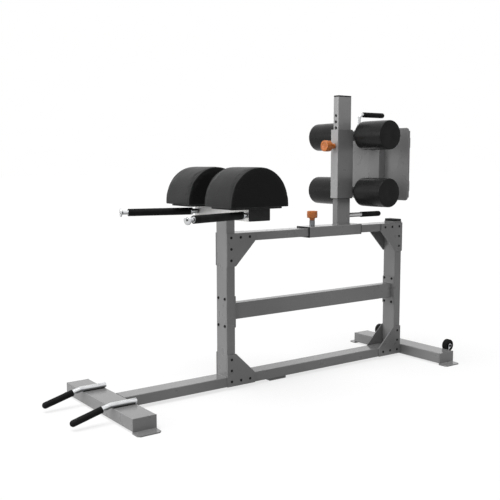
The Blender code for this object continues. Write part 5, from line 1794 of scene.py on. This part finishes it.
@dataclass
class Carriage:
    """What rides on the mast: its sleeve and liner, the arms, axles, foot plates and lift handle."""

    flange: float = 0.0020
    handle_bend: float = 0.028
    handle_lift: float = 0.003
    brace_depth: float = 0.0443

    def build(self) -> None:
        """Dresses the carriage's nodes, turns its axles and bends its handle."""
        soft_edged("mast_sleeve", SLEEVE_PAINT)
        for node in ("foot_plate_frame", "foot_plate_near", "foot_plate_far"):
            soft_edged(node, PAINT)
        soft_edged("mast_sleeve_liner", NYLON, 0.0004)
        for level in ("upper", "lower"):
            self.axle(level)
        self.flanges()
        self.handle()
        self.welds()

    def axle(self, level: str) -> None:
        """An axle with its thrust collars."""
        node = f"{level}_roller_axle"
        low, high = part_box(node)
        middle = (low + high) / 2
        end = high.y
        collar, rod, wide = 0.0877, 0.0125, (high.z - low.z) / 2
        half = [
            (collar - 0.004, rod), (collar - 0.004, wide - 0.001), (collar - 0.003, wide), (collar - 0.001, wide),
        ]
        half += [(collar, wide - 0.001), (collar, rod), (end, rod), (end, 0.0)]
        profile = [(-along, radius) for along, radius in reversed(half)] + half
        thing = piece(f"{node}.turned", lathe(profile, (middle.x, 0, middle.z), (0, 1, 0)), OXIDE)
        settle(thing, Body.CARRIAGE.value, OXIDE, [node])

    def flanges(self) -> None:
        """Black flanges of the liner at the sleeve's lower end."""
        low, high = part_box("mast_sleeve")
        mast_low, mast_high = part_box("mast")
        sleeve_front = mast_low.x - (high.x - mast_high.x)
        gap = 0.0006
        outer = (high.y, sleeve_front, high.x)
        inner = (mast_high.y + gap, mast_low.x - gap, mast_high.x + gap)
        ring_piece(
            "mast_sleeve_liner.flange_lower", outer, inner, low.z - self.flange, self.flange, "z", Body.CARRIAGE,
        )

    def handle(self) -> None:
        """The bent chrome bar on the upper arm and its grip."""
        bar_low, bar_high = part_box("lift_handle_bar")
        grip_low, grip_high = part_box("lift_handle_grip")
        radius = bar_high.y
        level = (grip_low.z + grip_high.z) / 2 + self.handle_lift
        x = bar_low.x + radius
        corners = [(x, 0, bar_low.z), (x, 0, level), (bar_high.x, 0, level)]
        thing = piece("lift_handle_bar.bent", bent_rod(corners, self.handle_bend, radius), CHROME)
        settle(thing, Body.CARRIAGE.value, CHROME, ["lift_handle_bar"])
        shape = GripShape(radius + 0.0003, grip_high.y)
        length = grip_high.x - grip_low.x
        mesh = lathe(
            shape.blind_profile(length, bar_high.x - grip_low.x + 0.0003), (grip_low.x, 0, level), (1, 0, 0),
        )
        settle(piece("lift_handle_grip.moulded", mesh, RUBBER), Body.CARRIAGE.value, RUBBER, ["lift_handle_grip"])

    def welds(self) -> None:
        """Weld beads at the arms' roots, the handle's foot and the straps."""
        sleeve_low, sleeve_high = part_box("mast_sleeve")
        root = sleeve_high.x + 0.0006
        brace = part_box("foot_plate_near")[0].x - self.brace_depth - 0.0006
        paths = []
        for level in ("upper", "lower"):
            z = centre(f"{level}_roller_axle").z
            for side in Side:
                y = side.value * 0.0204
                paths.append([(root, y, z - 0.021), (root, y, z + 0.021)])
            paths.append([(root, -0.016, z + 0.0252), (root, 0.016, z + 0.0252)])
            paths.append([(root, -0.016, z - 0.0252), (root, 0.016, z - 0.0252)])
            for side in Side:
                y = side.value * 0.0204
                paths.append([(brace, y, z - 0.021), (brace, y, z + 0.021)])
        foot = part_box("lift_handle_bar")[0]
        bar = -foot.y
        turns = [math.tau * step / 24 for step in range(25)]
        paths.append([(foot.x + bar + 0.0105 * math.cos(t), 0.0105 * math.sin(t), foot.z + 0.0004) for t in turns])
        beads = BeadTree("carriage_weld_beads", PAINT).run(
            "foot_plate_frame.welds", lines(paths), PAINT,
            Pitch=0.0018, Bead_Length=0.0034, Bead_Width=0.0042, Unevenness=0.12, Seed=9
        )
        settle(beads, Body.CARRIAGE.value, PAINT)


def main() -> None:
    """Builds the camera, the studio and every sub-assembly."""
    logging.basicConfig(level=logging.INFO, format="%(name)s: %(message)s")
    Camera().build()
    Studio().build()
    SteelFrame().build()
    EndCaps().build()
    for side in Side:
        HipPad(side).build()
        FrontHandle(side).build()
        FloorHandle(side).build()
        TransportWheel(side).build()
        for level in ("upper", "lower"):
            AnkleRoller(level, side).build()
    SliderUnit().build()
    Carriage().build()
    PopPin("slide_pin", Body.SLIDE_PIN, Body.SLIDER, (0, 0, 1), 0.0305, 0.0275, 0.0360, 0.0016, 0.0125).build()
    PopPin("lift_pin", Body.LIFT_PIN, Body.CARRIAGE, (-1, 0, 0), 0.0, 0.0290, 0.0370, 0.0060, 0.0310).build()


if __name__ == "__main__":
    main()
